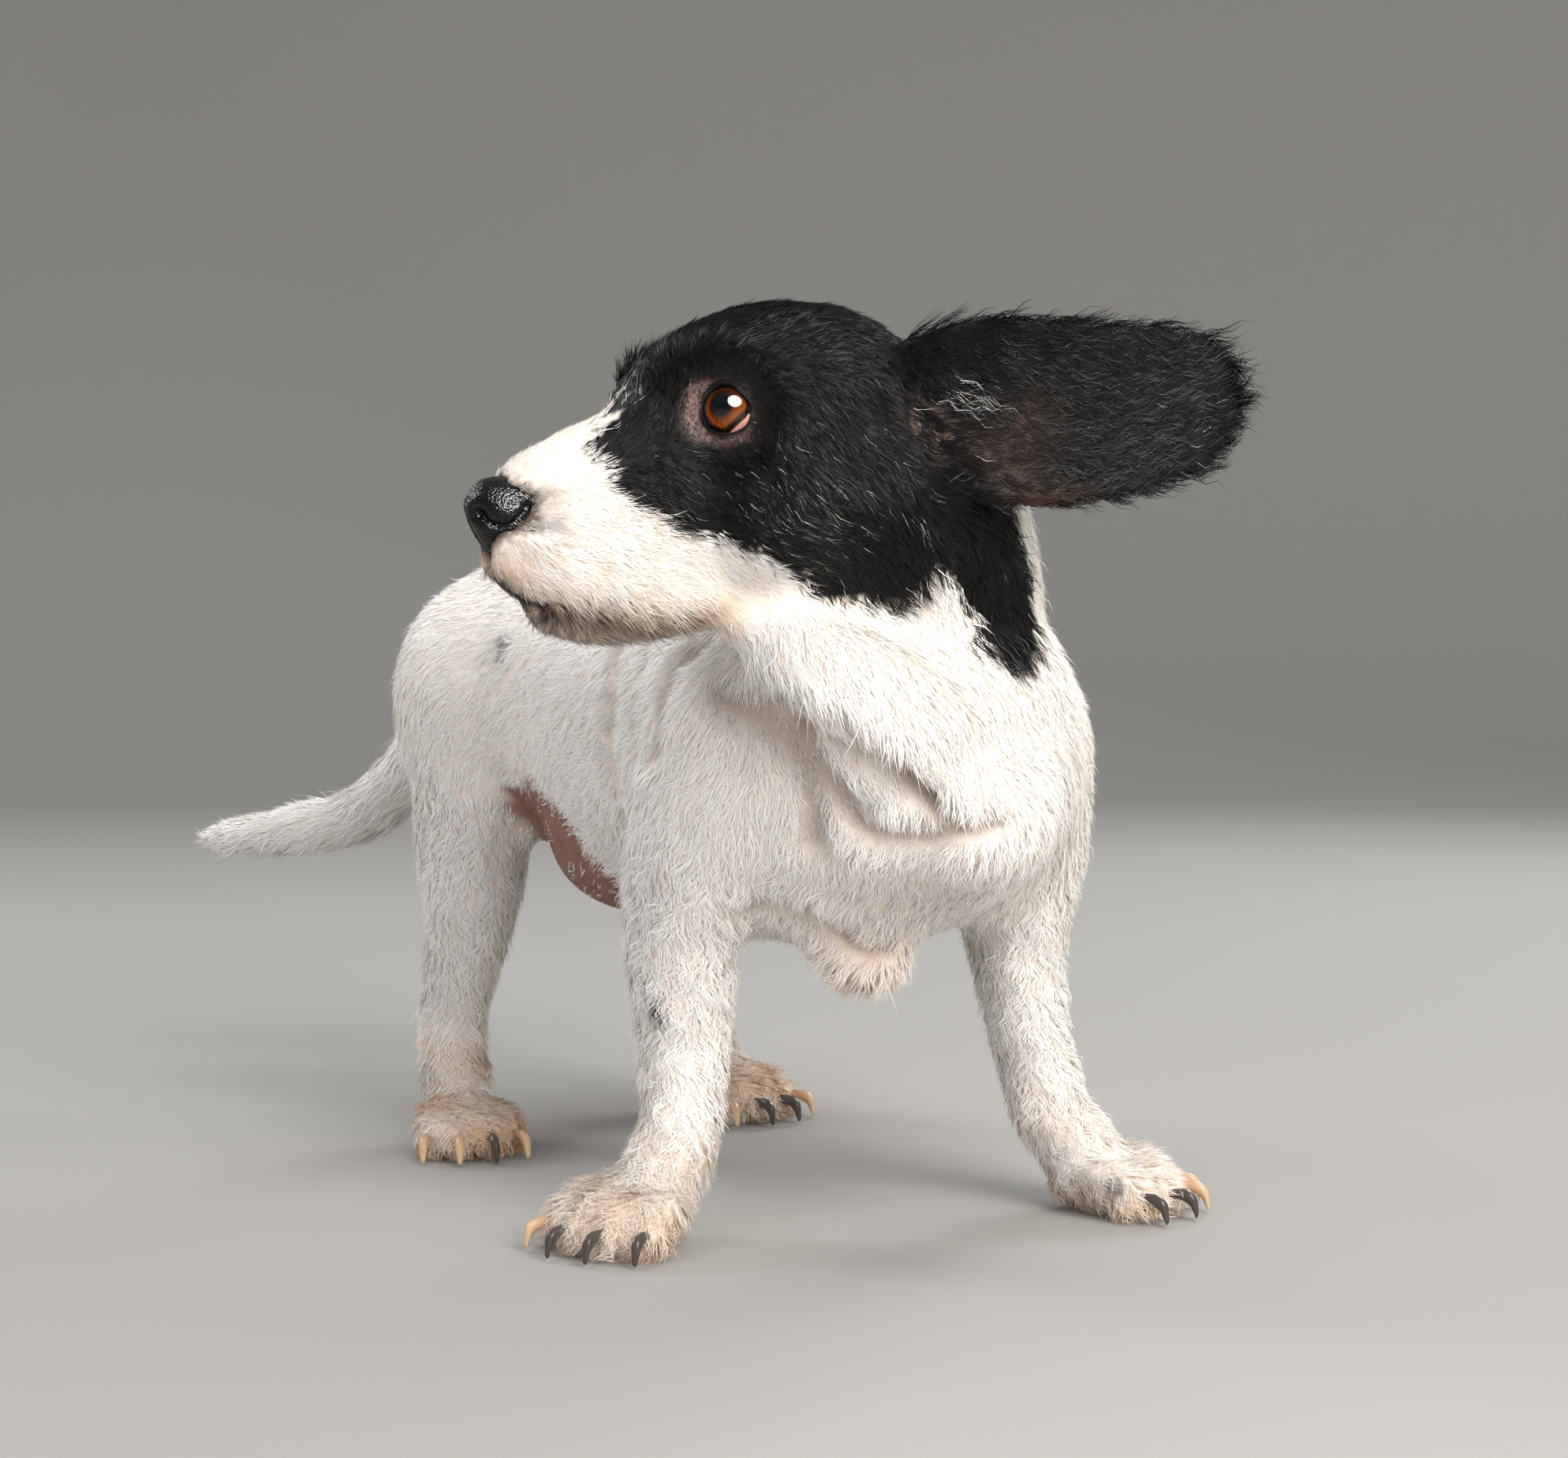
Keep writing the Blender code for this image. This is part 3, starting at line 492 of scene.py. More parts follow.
# %% Coat table
COAT = {
    # part: (length mm, lift degrees, depth mm, curl mm, blade width mm, hairs per square cm)
    "chest": (12.5, 20, 4.3, 1.3, 0.42, 82),
    "loin": (11.0, 17, 3.8, 0.9, 0.42, 72),
    "neck": (13.0, 18, 4.0, 0.9, 0.40, 92),
    "head": (8.5, 18, 2.3, 0.6, 0.32, 178),
    "jaw_lower": (8.5, 28, 2.4, 0.7, 0.34, 160),
    "nose": (3.0, 20, 1.5, 0.2, 0.30, 120),
    "ear": (17.0, 14, 1.3, 1.6, 0.40, 100),
    "tail": (17.0, 18, 4.6, 1.1, 0.48, 84),
    "foreleg": (11.0, 38, 3.5, 2.2, 0.42, 96),
    "hindleg": (11.0, 34, 3.6, 1.8, 0.42, 92),
    "forepaw": (12.5, 50, 3.0, 2.6, 0.34, 124),
    "hindpaw": (12.0, 50, 3.1, 2.6, 0.34, 124),
}
SOAK_ROUNDS = 14
coat_rows = np.array([COAT.get(n, COAT.get(n.split("_")[0])) for n in FLESH], float)
soaked = spread(coat_rows[owner], SOAK_ROUNDS).T.copy()
hair_length, hair_lift, coat_depth, curl, blade_width, thickness = soaked
hair_length, coat_depth, curl, blade_width = (v / 1000 for v in (hair_length, coat_depth, curl, blade_width))
hair_lift = np.radians(hair_lift)
thickness = thickness * 1e4  # from each square centimetre to each square metre
print("hair mm", round(hair_length.min() * 1000, 1), "to", round(hair_length.max() * 1000, 1))

# %% [markdown]
# ## Distances and soft steps
# Folds, markings and the lie of the coat all ask the same few things of the skin: how far is it to
# a path or a place, and is a measure past a limit? These small functions answer for all the points
# at once, and always softly, because a hard border would show as a step.

# %% Distances and soft steps
def along(points, path):
    """The distance from each point to a path of straight stretches, the way that the nearest
    stretch runs, and how far along the path that is, from 0 to 1."""
    path = np.asarray(path, float)
    best = np.full(len(points), np.inf)
    way = np.zeros_like(points)
    share = np.zeros(len(points))
    for k, (a, b) in enumerate(zip(path[:-1], path[1:])):
        run = b - a
        t = np.clip((points - a) @ run / (run @ run), 0, 1)
        gap = np.linalg.norm(points - a - t[:, None] * run, axis=1)
        closer = gap < best
        best[closer] = gap[closer]
        way[closer] = run / np.linalg.norm(run)
        share[closer] = ((k + t) / (len(path) - 1))[closer]
    return best, way, share


def near(points, place, size):
    """exp(-(distance / size)^2) from a place; the size may differ along each axis."""
    return np.exp(-(((points - place) / size) ** 2).sum(1))


def near_path(points, path, size):
    """exp(-(distance / size)^2) from a path."""
    return np.exp(-((along(points, path)[0] / size) ** 2))


def rise(value, low, high):
    """0 below low, 1 above high, and 3t^2 - 2t^3 between."""
    t = np.clip((value - low) / (high - low), 0, 1)
    return t * t * (3 - 2 * t)


def both_sides(path):
    """A path in the head's frame on its left side, and its mirror image."""
    return [np.array(path, float), np.array(path, float) * (1, -1, 1)]


def swirl(points, size, seed):
    """Soft noise from -1 to 1: the sum of five sines of the place, each along its own line, over 3."""
    own = np.random.default_rng(seed)
    total = 0
    for _ in range(5):
        line = own.normal(size=3)
        line /= np.linalg.norm(line) * size * own.uniform(0.7, 1.5) / (2 * math.pi)
        total = total + np.sin(points @ line + own.uniform(0, 2 * math.pi))
    return total / 3


print("rise halfway", rise(np.array([0.5]), 0, 1)[0])

# %% [markdown]
# ## Paths of the folds
# Loose skin hangs in folds under the jaw, over the chest and behind the shoulder, and round the
# eyes of the head. Each is a short path on the skin with the few points that its bends need. It
# could be sculpted by hand, but a path with a width and a height is easy to read and to change.

# %% Paths of the folds
FOLDS = {
    # name: (width mm, height mm, path from the spot on the floor)
    "throat_edge": (5.0, 2.2, [
        (-0.075, -0.266, 0.256), (-0.066, -0.292, 0.248), (-0.050, -0.307, 0.237), (-0.034, -0.313, 0.227),
        (-0.013, -0.311, 0.211), (-0.002, -0.311, 0.200),
    ]),
    "throat_line": (4.0, -5.0, [
        (-0.070, -0.268, 0.246), (-0.068, -0.282, 0.243), (-0.053, -0.301, 0.232), (-0.037, -0.307, 0.221),
        (-0.017, -0.304, 0.205), (-0.007, -0.307, 0.195),
    ]),
    "throat_groove": (5.2, -6.5, [
        (-0.060, -0.245, 0.243), (-0.055, -0.262, 0.236), (-0.050, -0.277, 0.227), (-0.042, -0.290, 0.219),
        (-0.032, -0.299, 0.213), (-0.022, -0.303, 0.206), (-0.012, -0.304, 0.200), (-0.006, -0.308, 0.194),
        (-0.001, -0.312, 0.188), (0.007, -0.317, 0.185), (0.018, -0.321, 0.190),
    ]),
    "throat_band": (5.0, 2.6, [
        (-0.050, -0.276, 0.220), (-0.041, -0.285, 0.212), (-0.030, -0.290, 0.203), (-0.018, -0.293, 0.193),
    ]),
    "throat_hollow": (5.6, -6.0, [
        (-0.053, -0.262, 0.230), (-0.049, -0.269, 0.221), (-0.043, -0.277, 0.207), (-0.036, -0.280, 0.195),
        (-0.029, -0.282, 0.185), (-0.019, -0.287, 0.180), (-0.009, -0.299, 0.181), (-0.002, -0.311, 0.185),
    ]),
    "shoulder_hollow": (7.5, -5.5, [
        (-0.066, -0.222, 0.243), (-0.058, -0.245, 0.232), (-0.053, -0.258, 0.222), (-0.049, -0.267, 0.205),
        (-0.044, -0.266, 0.190), (-0.042, -0.262, 0.176),
    ]),
    "shoulder_line": (5.4, -5.6, [
        (-0.061, -0.196, 0.262), (-0.065, -0.184, 0.258), (-0.074, -0.181, 0.236), (-0.079, -0.182, 0.214),
    ]),
    "brisket_crease": (5.4, -6.5, [
        (-0.048, -0.214, 0.144), (-0.041, -0.223, 0.147), (-0.025, -0.229, 0.142), (-0.012, -0.237, 0.132),
        (-0.004, -0.246, 0.127), (0.008, -0.250, 0.128),
    ]),
    "brisket_edge": (6.0, 2.2, [
        (-0.030, -0.243, 0.152), (-0.012, -0.253, 0.144), (0.004, -0.258, 0.139), (0.022, -0.256, 0.142),
    ]),
    "rib_crease": (6.5, -3.6, [
        (-0.062, -0.116, 0.258), (-0.070, -0.123, 0.236), (-0.072, -0.118, 0.218), (-0.070, -0.124, 0.196),
    ]),
    "shoulder_crease": (6.0, -2.0, [
        (-0.050, -0.150, 0.283), (-0.060, -0.148, 0.262), (-0.066, -0.150, 0.240), (-0.068, -0.155, 0.216),
    ]),
}
HEAD_FOLDS = {
    # name: (width mm, height mm, path on the left side of the head)
    "under_bag": (3.2, -1.5, [
        (0.025, 0.028, -0.014), (0.015, 0.036, -0.026), (0.004, 0.042, -0.032), (-0.007, 0.049, -0.028),
        (-0.011, 0.048, -0.018),
    ]),
    "bag": (5.0, 0.9, [(0.010, 0.034, -0.018), (0.002, 0.038, -0.022), (-0.003, 0.042, -0.018)]),
    "brow": (6.0, 1.2, [(0.021, 0.018, 0.014), (0.008, 0.026, 0.022), (-0.008, 0.032, 0.023)]),
    "brow_end": (5.0, 1.6, [(0.027, 0.018, 0.015), (0.024, 0.018, 0.020)]),
}
print("folds", len(FOLDS), "on the body and", len(HEAD_FOLDS), "on the head")

# %% [markdown]
# ## The closed mouth
# The lips meet in a line from under the eye to the front of the muzzle. Seen from the side of the
# head it is one curve, so it is given as forward and up. The distance to it there serves for the
# crease, and later for the fringe of the lip and its stain. At the very front the lips part a
# little more: that is the slit.

# %% Line of the mouth
MOUTH = np.array([
    # forward, up: the closed lips, from behind the corner to the front
    (-0.010, -0.0810), (0.010, -0.0850), (0.032, -0.0872), (0.052, -0.0868), (0.061, -0.0855),
    (0.0725, -0.0829), (0.0775, -0.0812), (0.0823, -0.0783), (0.0880, -0.0728), (0.0930, -0.0690),
    (0.1050, -0.0680),
])
MOUTH_CORNER = 0.001
in_head = to_head(skin_points)
on_muzzle = owned["head"] | owned["jaw_lower"] | owned["nose"]
mouth_slope = np.interp(in_head[:, 0], MOUTH[1:, 0], np.diff(MOUTH[:, 1]) / np.diff(MOUTH[:, 0]))
mouth_gap = abs(in_head[:, 2] - np.interp(in_head[:, 0], *MOUTH.T)) / np.sqrt(1 + mouth_slope**2)
mouth_gap = np.hypot(mouth_gap, np.clip(MOUTH_CORNER - in_head[:, 0], 0, None))
mouth_gap[~on_muzzle] = 1.0
slit = rise(in_head[:, 0], 0.0690, 0.0750) * (1 - rise(in_head[:, 0], 0.0880, 0.0915))
eye_gap = np.min([np.linalg.norm(skin_points - place, axis=1) for place in EYES.values()], 0)
print("mouth length mm", round(1000 * (MOUTH[-1, 0] - MOUTH_CORNER)))

# %% [markdown]
# ## The nose in sections
# The bare leather of the nose is a piece of its own, and the skin has to meet it all round. Both
# are led by one table: at each height, how far forward the leather reaches and half its width.

# %% Sections of the nose
NOSE_SECTIONS = np.array([
    # up, how far forward, half width
    (-0.0268, 0.0860, 0.0004), (-0.0275, 0.0920, 0.0045), (-0.0290, 0.0965, 0.0095),
    (-0.0320, 0.0995, 0.0135), (-0.0360, 0.1020, 0.0158), (-0.0400, 0.1026, 0.0168),
    (-0.0440, 0.1018, 0.0168), (-0.0480, 0.0998, 0.0152), (-0.0520, 0.0978, 0.0118),
    (-0.0560, 0.0952, 0.0082), (-0.0600, 0.0911, 0.0050), (-0.0630, 0.0880, 0.0006),
])
NOSE_BACK, NOSE_MIDDLE = 0.0700, 0.0740
NOSE_REAR, NOSE_TOP, NOSE_BOTTOM = 0.0775, -0.0268, -0.0632


def nose_section(up):
    """How far forward the nose leather reaches at a height, and its half width there."""
    return [np.interp(up, NOSE_SECTIONS[::-1, 0], NOSE_SECTIONS[::-1, k]) for k in (1, 2)]


def outside_leather(place):
    """How far places in the head's frame lie outside the nose leather, as for a box whose sides
    follow its sections: the largest of the distances beside, behind, above and below."""
    beside = abs(place[:, 1]) - nose_section(place[:, 2])[1]
    return np.max([beside, NOSE_REAR - place[:, 0], place[:, 2] - NOSE_TOP, NOSE_BOTTOM - place[:, 2]], 0)


nose_gap = outside_leather(in_head)
print("nose leather, mm wide", round(2000 * NOSE_SECTIONS[:, 2].max(), 1))

# %% [markdown]
# ## Press the folds in
# The facets of chest and loin are wide, and ironing leaves their edges as faint lines. So the trunk
# is smoothed harder, to S p + S (p - S p): the soft shape, and then what the softening took away,
# softened too. A point near a fold then moves along its normal by height * exp(-(distance /
# width)^2), outwards on a ridge and inwards in a crease. Where creases meet, a depth d is held at
# D * tanh(d / D), which never passes D. Last, the whole skin sinks by the depth of the coat.

# %% Press the folds in
TORSO_ROUNDS = 70
DEEPEST = 0.010
FULL_CREASE = 0.008
LIP_CREASE, SLIT_CREASE, LIP_WIDTH = 0.0010, 0.0022, 0.0017

torso = spread((owned["chest"] | owned["loin"]).astype(float), 8)[:, None]
soft_points = spread(skin_points, TORSO_ROUNDS)
soft_points += spread(skin_points - soft_points, TORSO_ROUNDS)
skin_points = skin_points + torso * (soft_points - skin_points)
normals = point_normals(skin_points, skin_faces)
step = np.zeros(len(skin_points))
for width, tall, path in FOLDS.values():
    step += tall / 1000 * near_path(skin_points, on_body(path), width / 1000)
for width, tall, path in HEAD_FOLDS.values():
    gap = np.min([along(in_head, side)[0] for side in both_sides(path)], 0)
    step += tall / 1000 * np.exp(-((gap * 1000 / width) ** 2))
step = np.where(step < 0, -DEEPEST * np.tanh(-step / DEEPEST), step)
# How deep the creases are: it thins and shortens the hair, and paints hide and hair darker as painted shade.
crease = np.clip(-step / FULL_CREASE, 0, 1)
step -= (LIP_CREASE + SLIT_CREASE * slit) * np.exp(-((mouth_gap / LIP_WIDTH) ** 2))
round_eyes = 0.35 + 0.65 * rise(eye_gap, 0.013, 0.026)
round_nose = 0.4 + 0.6 * rise(nose_gap, 0.001, 0.02)
step -= coat_depth * round_eyes * round_nose
skin_points = iron(skin_points + normals * step[:, None], 3)
print("deepest step mm", round(step.min() * 1000, 1))

# %% [markdown]
# ## Fit the skin round the nose
# On the dog the hide turns in under the edge of the leather. Behind the leather the skin draws
# back, so that it can't show in the nostrils. Beside it the skin is held to the leather's own
# width, and a little inside where the slit of the nostril curls back. Below it the skin stays
# behind the groove of the lip. Chin and lip then come forward again by a few millimetres. All of it
# is masked to the muzzle, because other parts of the dog lie at the same heights.

# %% Fit the skin round the nose
NOSE_HEIGHT = -0.043
CHIN = (0.071, 0.0, -0.085)
LIP_FRONT = (0.084, 0, -0.073)
CHIN_FORWARD, LIP_FORWARD = 0.0034, 0.0042
WING_TOP = ((0.078, 0.095), (-0.0365, -0.0280))  # forward, and the height of the wing's top there
NOSTRIL_SLIT = ((0.079, 0.082, 0.086, 0.090), (-0.0390, -0.0430, -0.0480, -0.0495))  # the same of its slit

inside_nose = spread(owned["nose"].astype(float), 2)
place = to_head(skin_points)
back = inside_nose * rise(place[:, 0], 0.074, 0.086)
place[:, 0] -= 0.65 * inside_nose * np.clip(place[:, 0] - 0.076, 0, None)
place[:, 1] *= 1 - 0.40 * back
place[:, 2] += 0.35 * back * (NOSE_HEIGHT - place[:, 2])

face = spread(on_muzzle.astype(float), 2) * rise(place[:, 0], 0.045, 0.055)
ahead, half = nose_section(place[:, 2])
wing_top = np.interp(place[:, 0], *WING_TOP)
slit_up = np.interp(place[:, 0], *NOSTRIL_SLIT)
beside = face * rise(place[:, 2], -0.0530, -0.0485) * (1 - rise(place[:, 2], wing_top, wing_top + 0.0035))
sunk = rise(place[:, 2], slit_up - 0.0020, slit_up) * (0.0019 + 0.0036 * rise(place[:, 0], 0.0785, 0.0815))
limit = half + 0.0008 - sunk + 0.95 * np.clip(0.0785 - place[:, 0], 0, None)
place[:, 1] -= beside * np.sign(place[:, 1]) * np.clip(abs(place[:, 1]) - limit, 0, None)
place[:, 0] += CHIN_FORWARD * near(place, CHIN, 0.014) * face
place[:, 0] += LIP_FORWARD * near(place, LIP_FRONT, 0.010) * face
groove = face * rise(place[:, 2], -0.0668, -0.0628) * (1 - rise(place[:, 2], -0.0500, -0.0460))
limit = ahead - 0.0012 + 1.3 * np.clip(abs(place[:, 1]) - half, 0, None)
place[:, 0] -= groove * np.clip(place[:, 0] - limit, 0, None)

skin_points = from_head(place)
normals = point_normals(skin_points, skin_faces)
in_head = to_head(skin_points)
nose_gap = outside_leather(in_head)
print("skin box", skin_points.min(0).round(3), skin_points.max(0).round(3))

# %% [markdown]
# ## The black of the head
# The dog is white with a black head and ears. The black ends in a line that drops from the bridge
# of the nose under the eye and along the cheek, and a tongue of it runs down the neck behind the
# ear. Seen from the side of the head that line is one outline, so it is given as forward and up. A
# painted image could hold it too, but a formula stays sharp at any size and serves skin and hair.

# %% Outline of the black
BLACK_OUTLINE = [
    (0.036, 0.090), (0.038, 0.008), (0.043, -0.003), (0.053, -0.009), (0.058, -0.016), (0.052, -0.029),
    (0.042, -0.038), (0.032, -0.045), (0.010, -0.052), (-0.007, -0.058), (-0.028, -0.069), (-0.037, -0.079),
    (-0.054, -0.077), (-0.066, -0.079), (-0.078, -0.073), (-0.083, -0.064), (-0.092, -0.071),
    (-0.106, -0.088), (-0.103, -0.097), (-0.127, -0.108), (-0.139, -0.101), (-0.143, -0.088),
    (-0.136, -0.061), (-0.128, -0.045), (-0.122, 0.000), (-0.122, 0.090),
]
NECK_LEFT = -0.092  # the black ends here on the right of the head, and at the next on the nape
NAPE_LEFT = 0.004
EDGE = 0.0008


def inside_outline(flat, outline):
    """How far inside an outline each flat point lies, negative outside it."""
    outline = np.asarray(outline, float)
    gap = np.full(len(flat), np.inf)
    crossings = np.zeros(len(flat), int)
    for a, b in zip(outline, np.roll(outline, -1, 0)):
        run = b - a
        t = np.clip((flat - a) @ run / (run @ run), 0, 1)
        gap = np.minimum(gap, np.linalg.norm(flat - a - t[:, None] * run, axis=1))
        level = (a[1] > flat[:, 1]) != (b[1] > flat[:, 1])
        where = a[0] + (flat[:, 1] - a[1]) / (run[1] if run[1] else 1e-9) * run[0]
        crossings += level & (flat[:, 0] < where)
    return np.where(crossings % 2 == 1, gap, -gap)


def black_at(points, ear, ragged=0.0):
    """1 where the coat is black: inside the outline, on the head or the left of the neck, or an ear."""
    place = to_head(points)
    depth = inside_outline(place[:, [0, 2]], BLACK_OUTLINE)
    depth = np.minimum(depth, place[:, 1] - NECK_LEFT)
    behind = rise(-0.088 - place[:, 0], 0, 0.004) * rise(-0.055 - place[:, 2], 0, 0.006)
    depth = np.where(behind > 0.5, np.minimum(depth, place[:, 1] - NAPE_LEFT), depth)
    depth = depth + 0.0022 * swirl(points, 0.011, 3) + 0.0012 * swirl(points, 0.004, 4) + ragged
    return np.maximum(rise(depth, -EDGE, EDGE), ear)


print("black outline", len(BLACK_OUTLINE), "points")

# %% [markdown]
# ## Ticks and spots
# Faint grey ticks are scattered over the rump, and two small spots lie on the forearm and the left
# forepaw. Each is a round blot, exp(-(distance / size)^2), and the ticks take their places by
# chance, as on the animal. The seed of the chance is fixed, so each run gives the same dog.

# %% Ticks and spots
TICKS = 46
TICK_HOME = on_body((-0.035, 0.105, 0.250))
TICK_SPREAD = np.array([0.030, 0.050, 0.040])
SPOTS = {
    # name: (place, radius)
    "forearm": (on_body((-0.075, -0.183, 0.101)), 0.006),
    "forepaw": (on_body((0.117, -0.253, 0.019)), 0.005),
}
ticks = TICK_HOME + chance.normal(size=(TICKS, 3)) * TICK_SPREAD
tick_sizes = chance.uniform(0.0018, 0.0042, TICKS)


def grey_at(points):
    """The grey ticks of the rump and the two small spots, as a sum of round blots."""
    total = np.zeros(len(points))
    for place, size in zip(ticks, tick_sizes):
        total += 0.85 * np.exp(-((np.linalg.norm(points - place, axis=1) / (size * 1.6)) ** 2))
    for place, size in SPOTS.values():
        total += 0.95 * np.exp(-((np.linalg.norm(points - place, axis=1) / size) ** 4))
    return np.clip(total, 0, 1)


print("ticks", TICKS, "radius mm", round(1000 * tick_sizes.min(), 1), "to", round(1000 * tick_sizes.max(), 1))

# %% [markdown]
# ## Stains, dusky places and painted shade
# White hair takes up the tan of saliva and soil: on the feet, more so on the hind ones, and round
# the lips. Short dark hairs make the jaw, the lips and the edge of the nose dusky. The tuft under the
# brisket is painted tan and grey as well, but that is painted shade: it lies in shade under the chest.
# Each is a share from 0 to 1 stored on the skin, and the hairs borrow it at their roots, so skin
# and coat always agree.

# %% Stains, dusky places and painted shade
BRISKET_TUFT = on_body((0.008, -0.225, 0.112))


def part_share(*kinds):
    """1 on the skin of these kinds of part, 0 elsewhere, with a soft edge."""
    mine = sum(owned[n] for n in FLESH if n.startswith(kinds)).astype(float)
    return spread(mine, 6)


forward, up = in_head[:, 0], in_head[:, 2]
floor_up = skin_points[:, 2]
ear_share = part_share("ear")
hind_share = part_share("hindpaw", "hindleg")
low_leg = rise(-floor_up, -0.085, -0.012)
muzzle = part_share("head", "jaw_lower") * rise(forward, -0.010, 0.030) * rise(-up, 0.015, 0.035)
# Painted shade: the tuft under the brisket lies in shade under the chest, so it is painted darker.
brisket_shade = near(skin_points, BRISKET_TUFT, 0.030)
stain_and_shade = low_leg * (0.20 + 0.28 * hind_share) * (0.7 + 0.6 * swirl(skin_points, 0.03, 8))
stain_and_shade += 0.44 * rise(-floor_up, -0.026, -0.003) * (0.8 + 0.4 * swirl(skin_points, 0.010, 9))
stain_and_shade += 0.50 * np.exp(-((mouth_gap / 0.008) ** 2))
stain_and_shade = np.clip(stain_and_shade + muzzle * (0.10 + 0.14 * swirl(skin_points, 0.012, 32)), 0, 1)
# The brisket's share of tan is painted shade, not a stain.
stain_and_shade = np.clip(stain_and_shade + 0.30 * brisket_shade, 0, 1)
jaw_dusk = part_share("jaw_lower") * rise(forward, -0.01, 0.03) * (1 - rise(mouth_gap, 0.012, 0.020))
lip_dusk = 0.45 * np.exp(-((mouth_gap / 0.0035) ** 2)) * rise(forward, -0.010, 0.020)
nose_dusk = 0.60 * (1 - rise(nose_gap, 0.0010, 0.0060)) * (1 - 0.65 * rise(up, -0.046, -0.036))
# The first term is the painted shade of the brisket's tuft, in grey.
dusk = 0.12 * brisket_shade + jaw_dusk * (0.42 + 0.42 * swirl(skin_points, 0.005, 31)) + lip_dusk
dusk = np.clip(dusk + nose_dusk * (0.75 + 0.5 * swirl(skin_points, 0.004, 33)), 0, 1)
print("black share", round(float(black_at(skin_points, ear_share).mean()), 3))
print("stain_and_shade", round(float(stain_and_shade.mean()), 3), "dusk", round(float(dusk.mean()), 3))

# %% [markdown]
# ## Strokes of the comb
# Hair lies along the body: back from the nose, down the chest and legs, out along the ears and
# tail. A groomer would comb it so, and this table does: each stroke is a short path that pulls the
# hair near it its own way, with an extra pull down or out where hair hangs.

# %% Strokes of the comb
DOWN_LEG = (0, 0.15, -0.2)
DOWN_TOES = (0, 0, -0.5)
BODY_STROKES = [
    # (kinds of part, reach, extra pull, path)
    (("chest", "loin"), 0.060, (0, 0, -0.5), [
        (0.025, -0.26, 0.255), (0.025, -0.10, 0.245), (0.025, 0.05, 0.250), (0.025, 0.12, 0.255),
    ]),
    (("chest",), 0.045, (0, 0, -0.3), [
        (-0.035, -0.275, 0.26), (0.000, -0.315, 0.21), (0.015, -0.275, 0.15), (0.02, -0.20, 0.115),
    ]),
    (("loin", "hindleg"), 0.030, (0, 0, -0.3), [
        (0.025, 0.130, 0.25), (0.032, 0.142, 0.20), (0.035, 0.130, 0.15),
    ]),
    (("chest", "loin"), 0.035, (0, 0, 0), [(0.02, -0.17, 0.120), (0.02, 0.0, 0.130), (0.02, 0.08, 0.150)]),
    (("neck", "chest"), 0.050, (0, 0, -0.45), [
        (-0.045, -0.243, 0.335), (0.007, -0.241, 0.308), (0.022, -0.211, 0.27), (0.027, -0.161, 0.232),
    ]),
    (("neck",), 0.030, (-0.3, 0, -0.9), [
        (-0.067, -0.259, 0.272), (-0.027, -0.292, 0.24), (0.027, -0.279, 0.208),
    ]),
    (("tail", "loin"), 0.022, (0, 0, -0.12), [
        (0.020, 0.145, 0.266), (0.0087, 0.201, 0.247), (-0.006, 0.222, 0.21), (-0.025, 0.235, 0.176),
        (-0.048, 0.249, 0.155), (-0.074, 0.285, 0.144), (-0.107, 0.340, 0.138),
    ]),
    (("foreleg", "chest"), 0.026, DOWN_LEG, [
        (-0.049, -0.190, 0.200), (-0.054, -0.172, 0.145), (-0.055, -0.171, 0.08), (-0.060, -0.179, 0.045),
    ]),
    (("foreleg", "chest"), 0.026, DOWN_LEG, [
        (0.098, -0.201, 0.200), (0.103, -0.194, 0.142), (0.108, -0.200, 0.078), (0.113, -0.206, 0.045),
    ]),
    (("hindleg", "loin"), 0.028, DOWN_LEG, [
        (-0.037, 0.085, 0.205), (-0.049, 0.077, 0.155), (-0.058, 0.081, 0.086), (-0.062, 0.082, 0.045),
    ]),
    (("hindleg", "loin"), 0.028, DOWN_LEG, [
        (0.085, 0.093, 0.205), (0.091, 0.085, 0.155), (0.092, 0.107, 0.086), (0.091, 0.108, 0.045),
    ]),
    (("forepaw",), 0.02, DOWN_TOES, [(-0.062, -0.178, 0.045), (-0.125, -0.211, 0.012)]),
    (("forepaw",), 0.02, DOWN_TOES, [(0.115, -0.205, 0.045), (0.157, -0.255, 0.012)]),
    (("hindpaw",), 0.02, DOWN_TOES, [(-0.064, 0.075, 0.045), (-0.079, 0.012, 0.012)]),
    (("hindpaw",), 0.02, DOWN_TOES, [(0.091, 0.105, 0.045), (0.102, 0.040, 0.012)]),
]
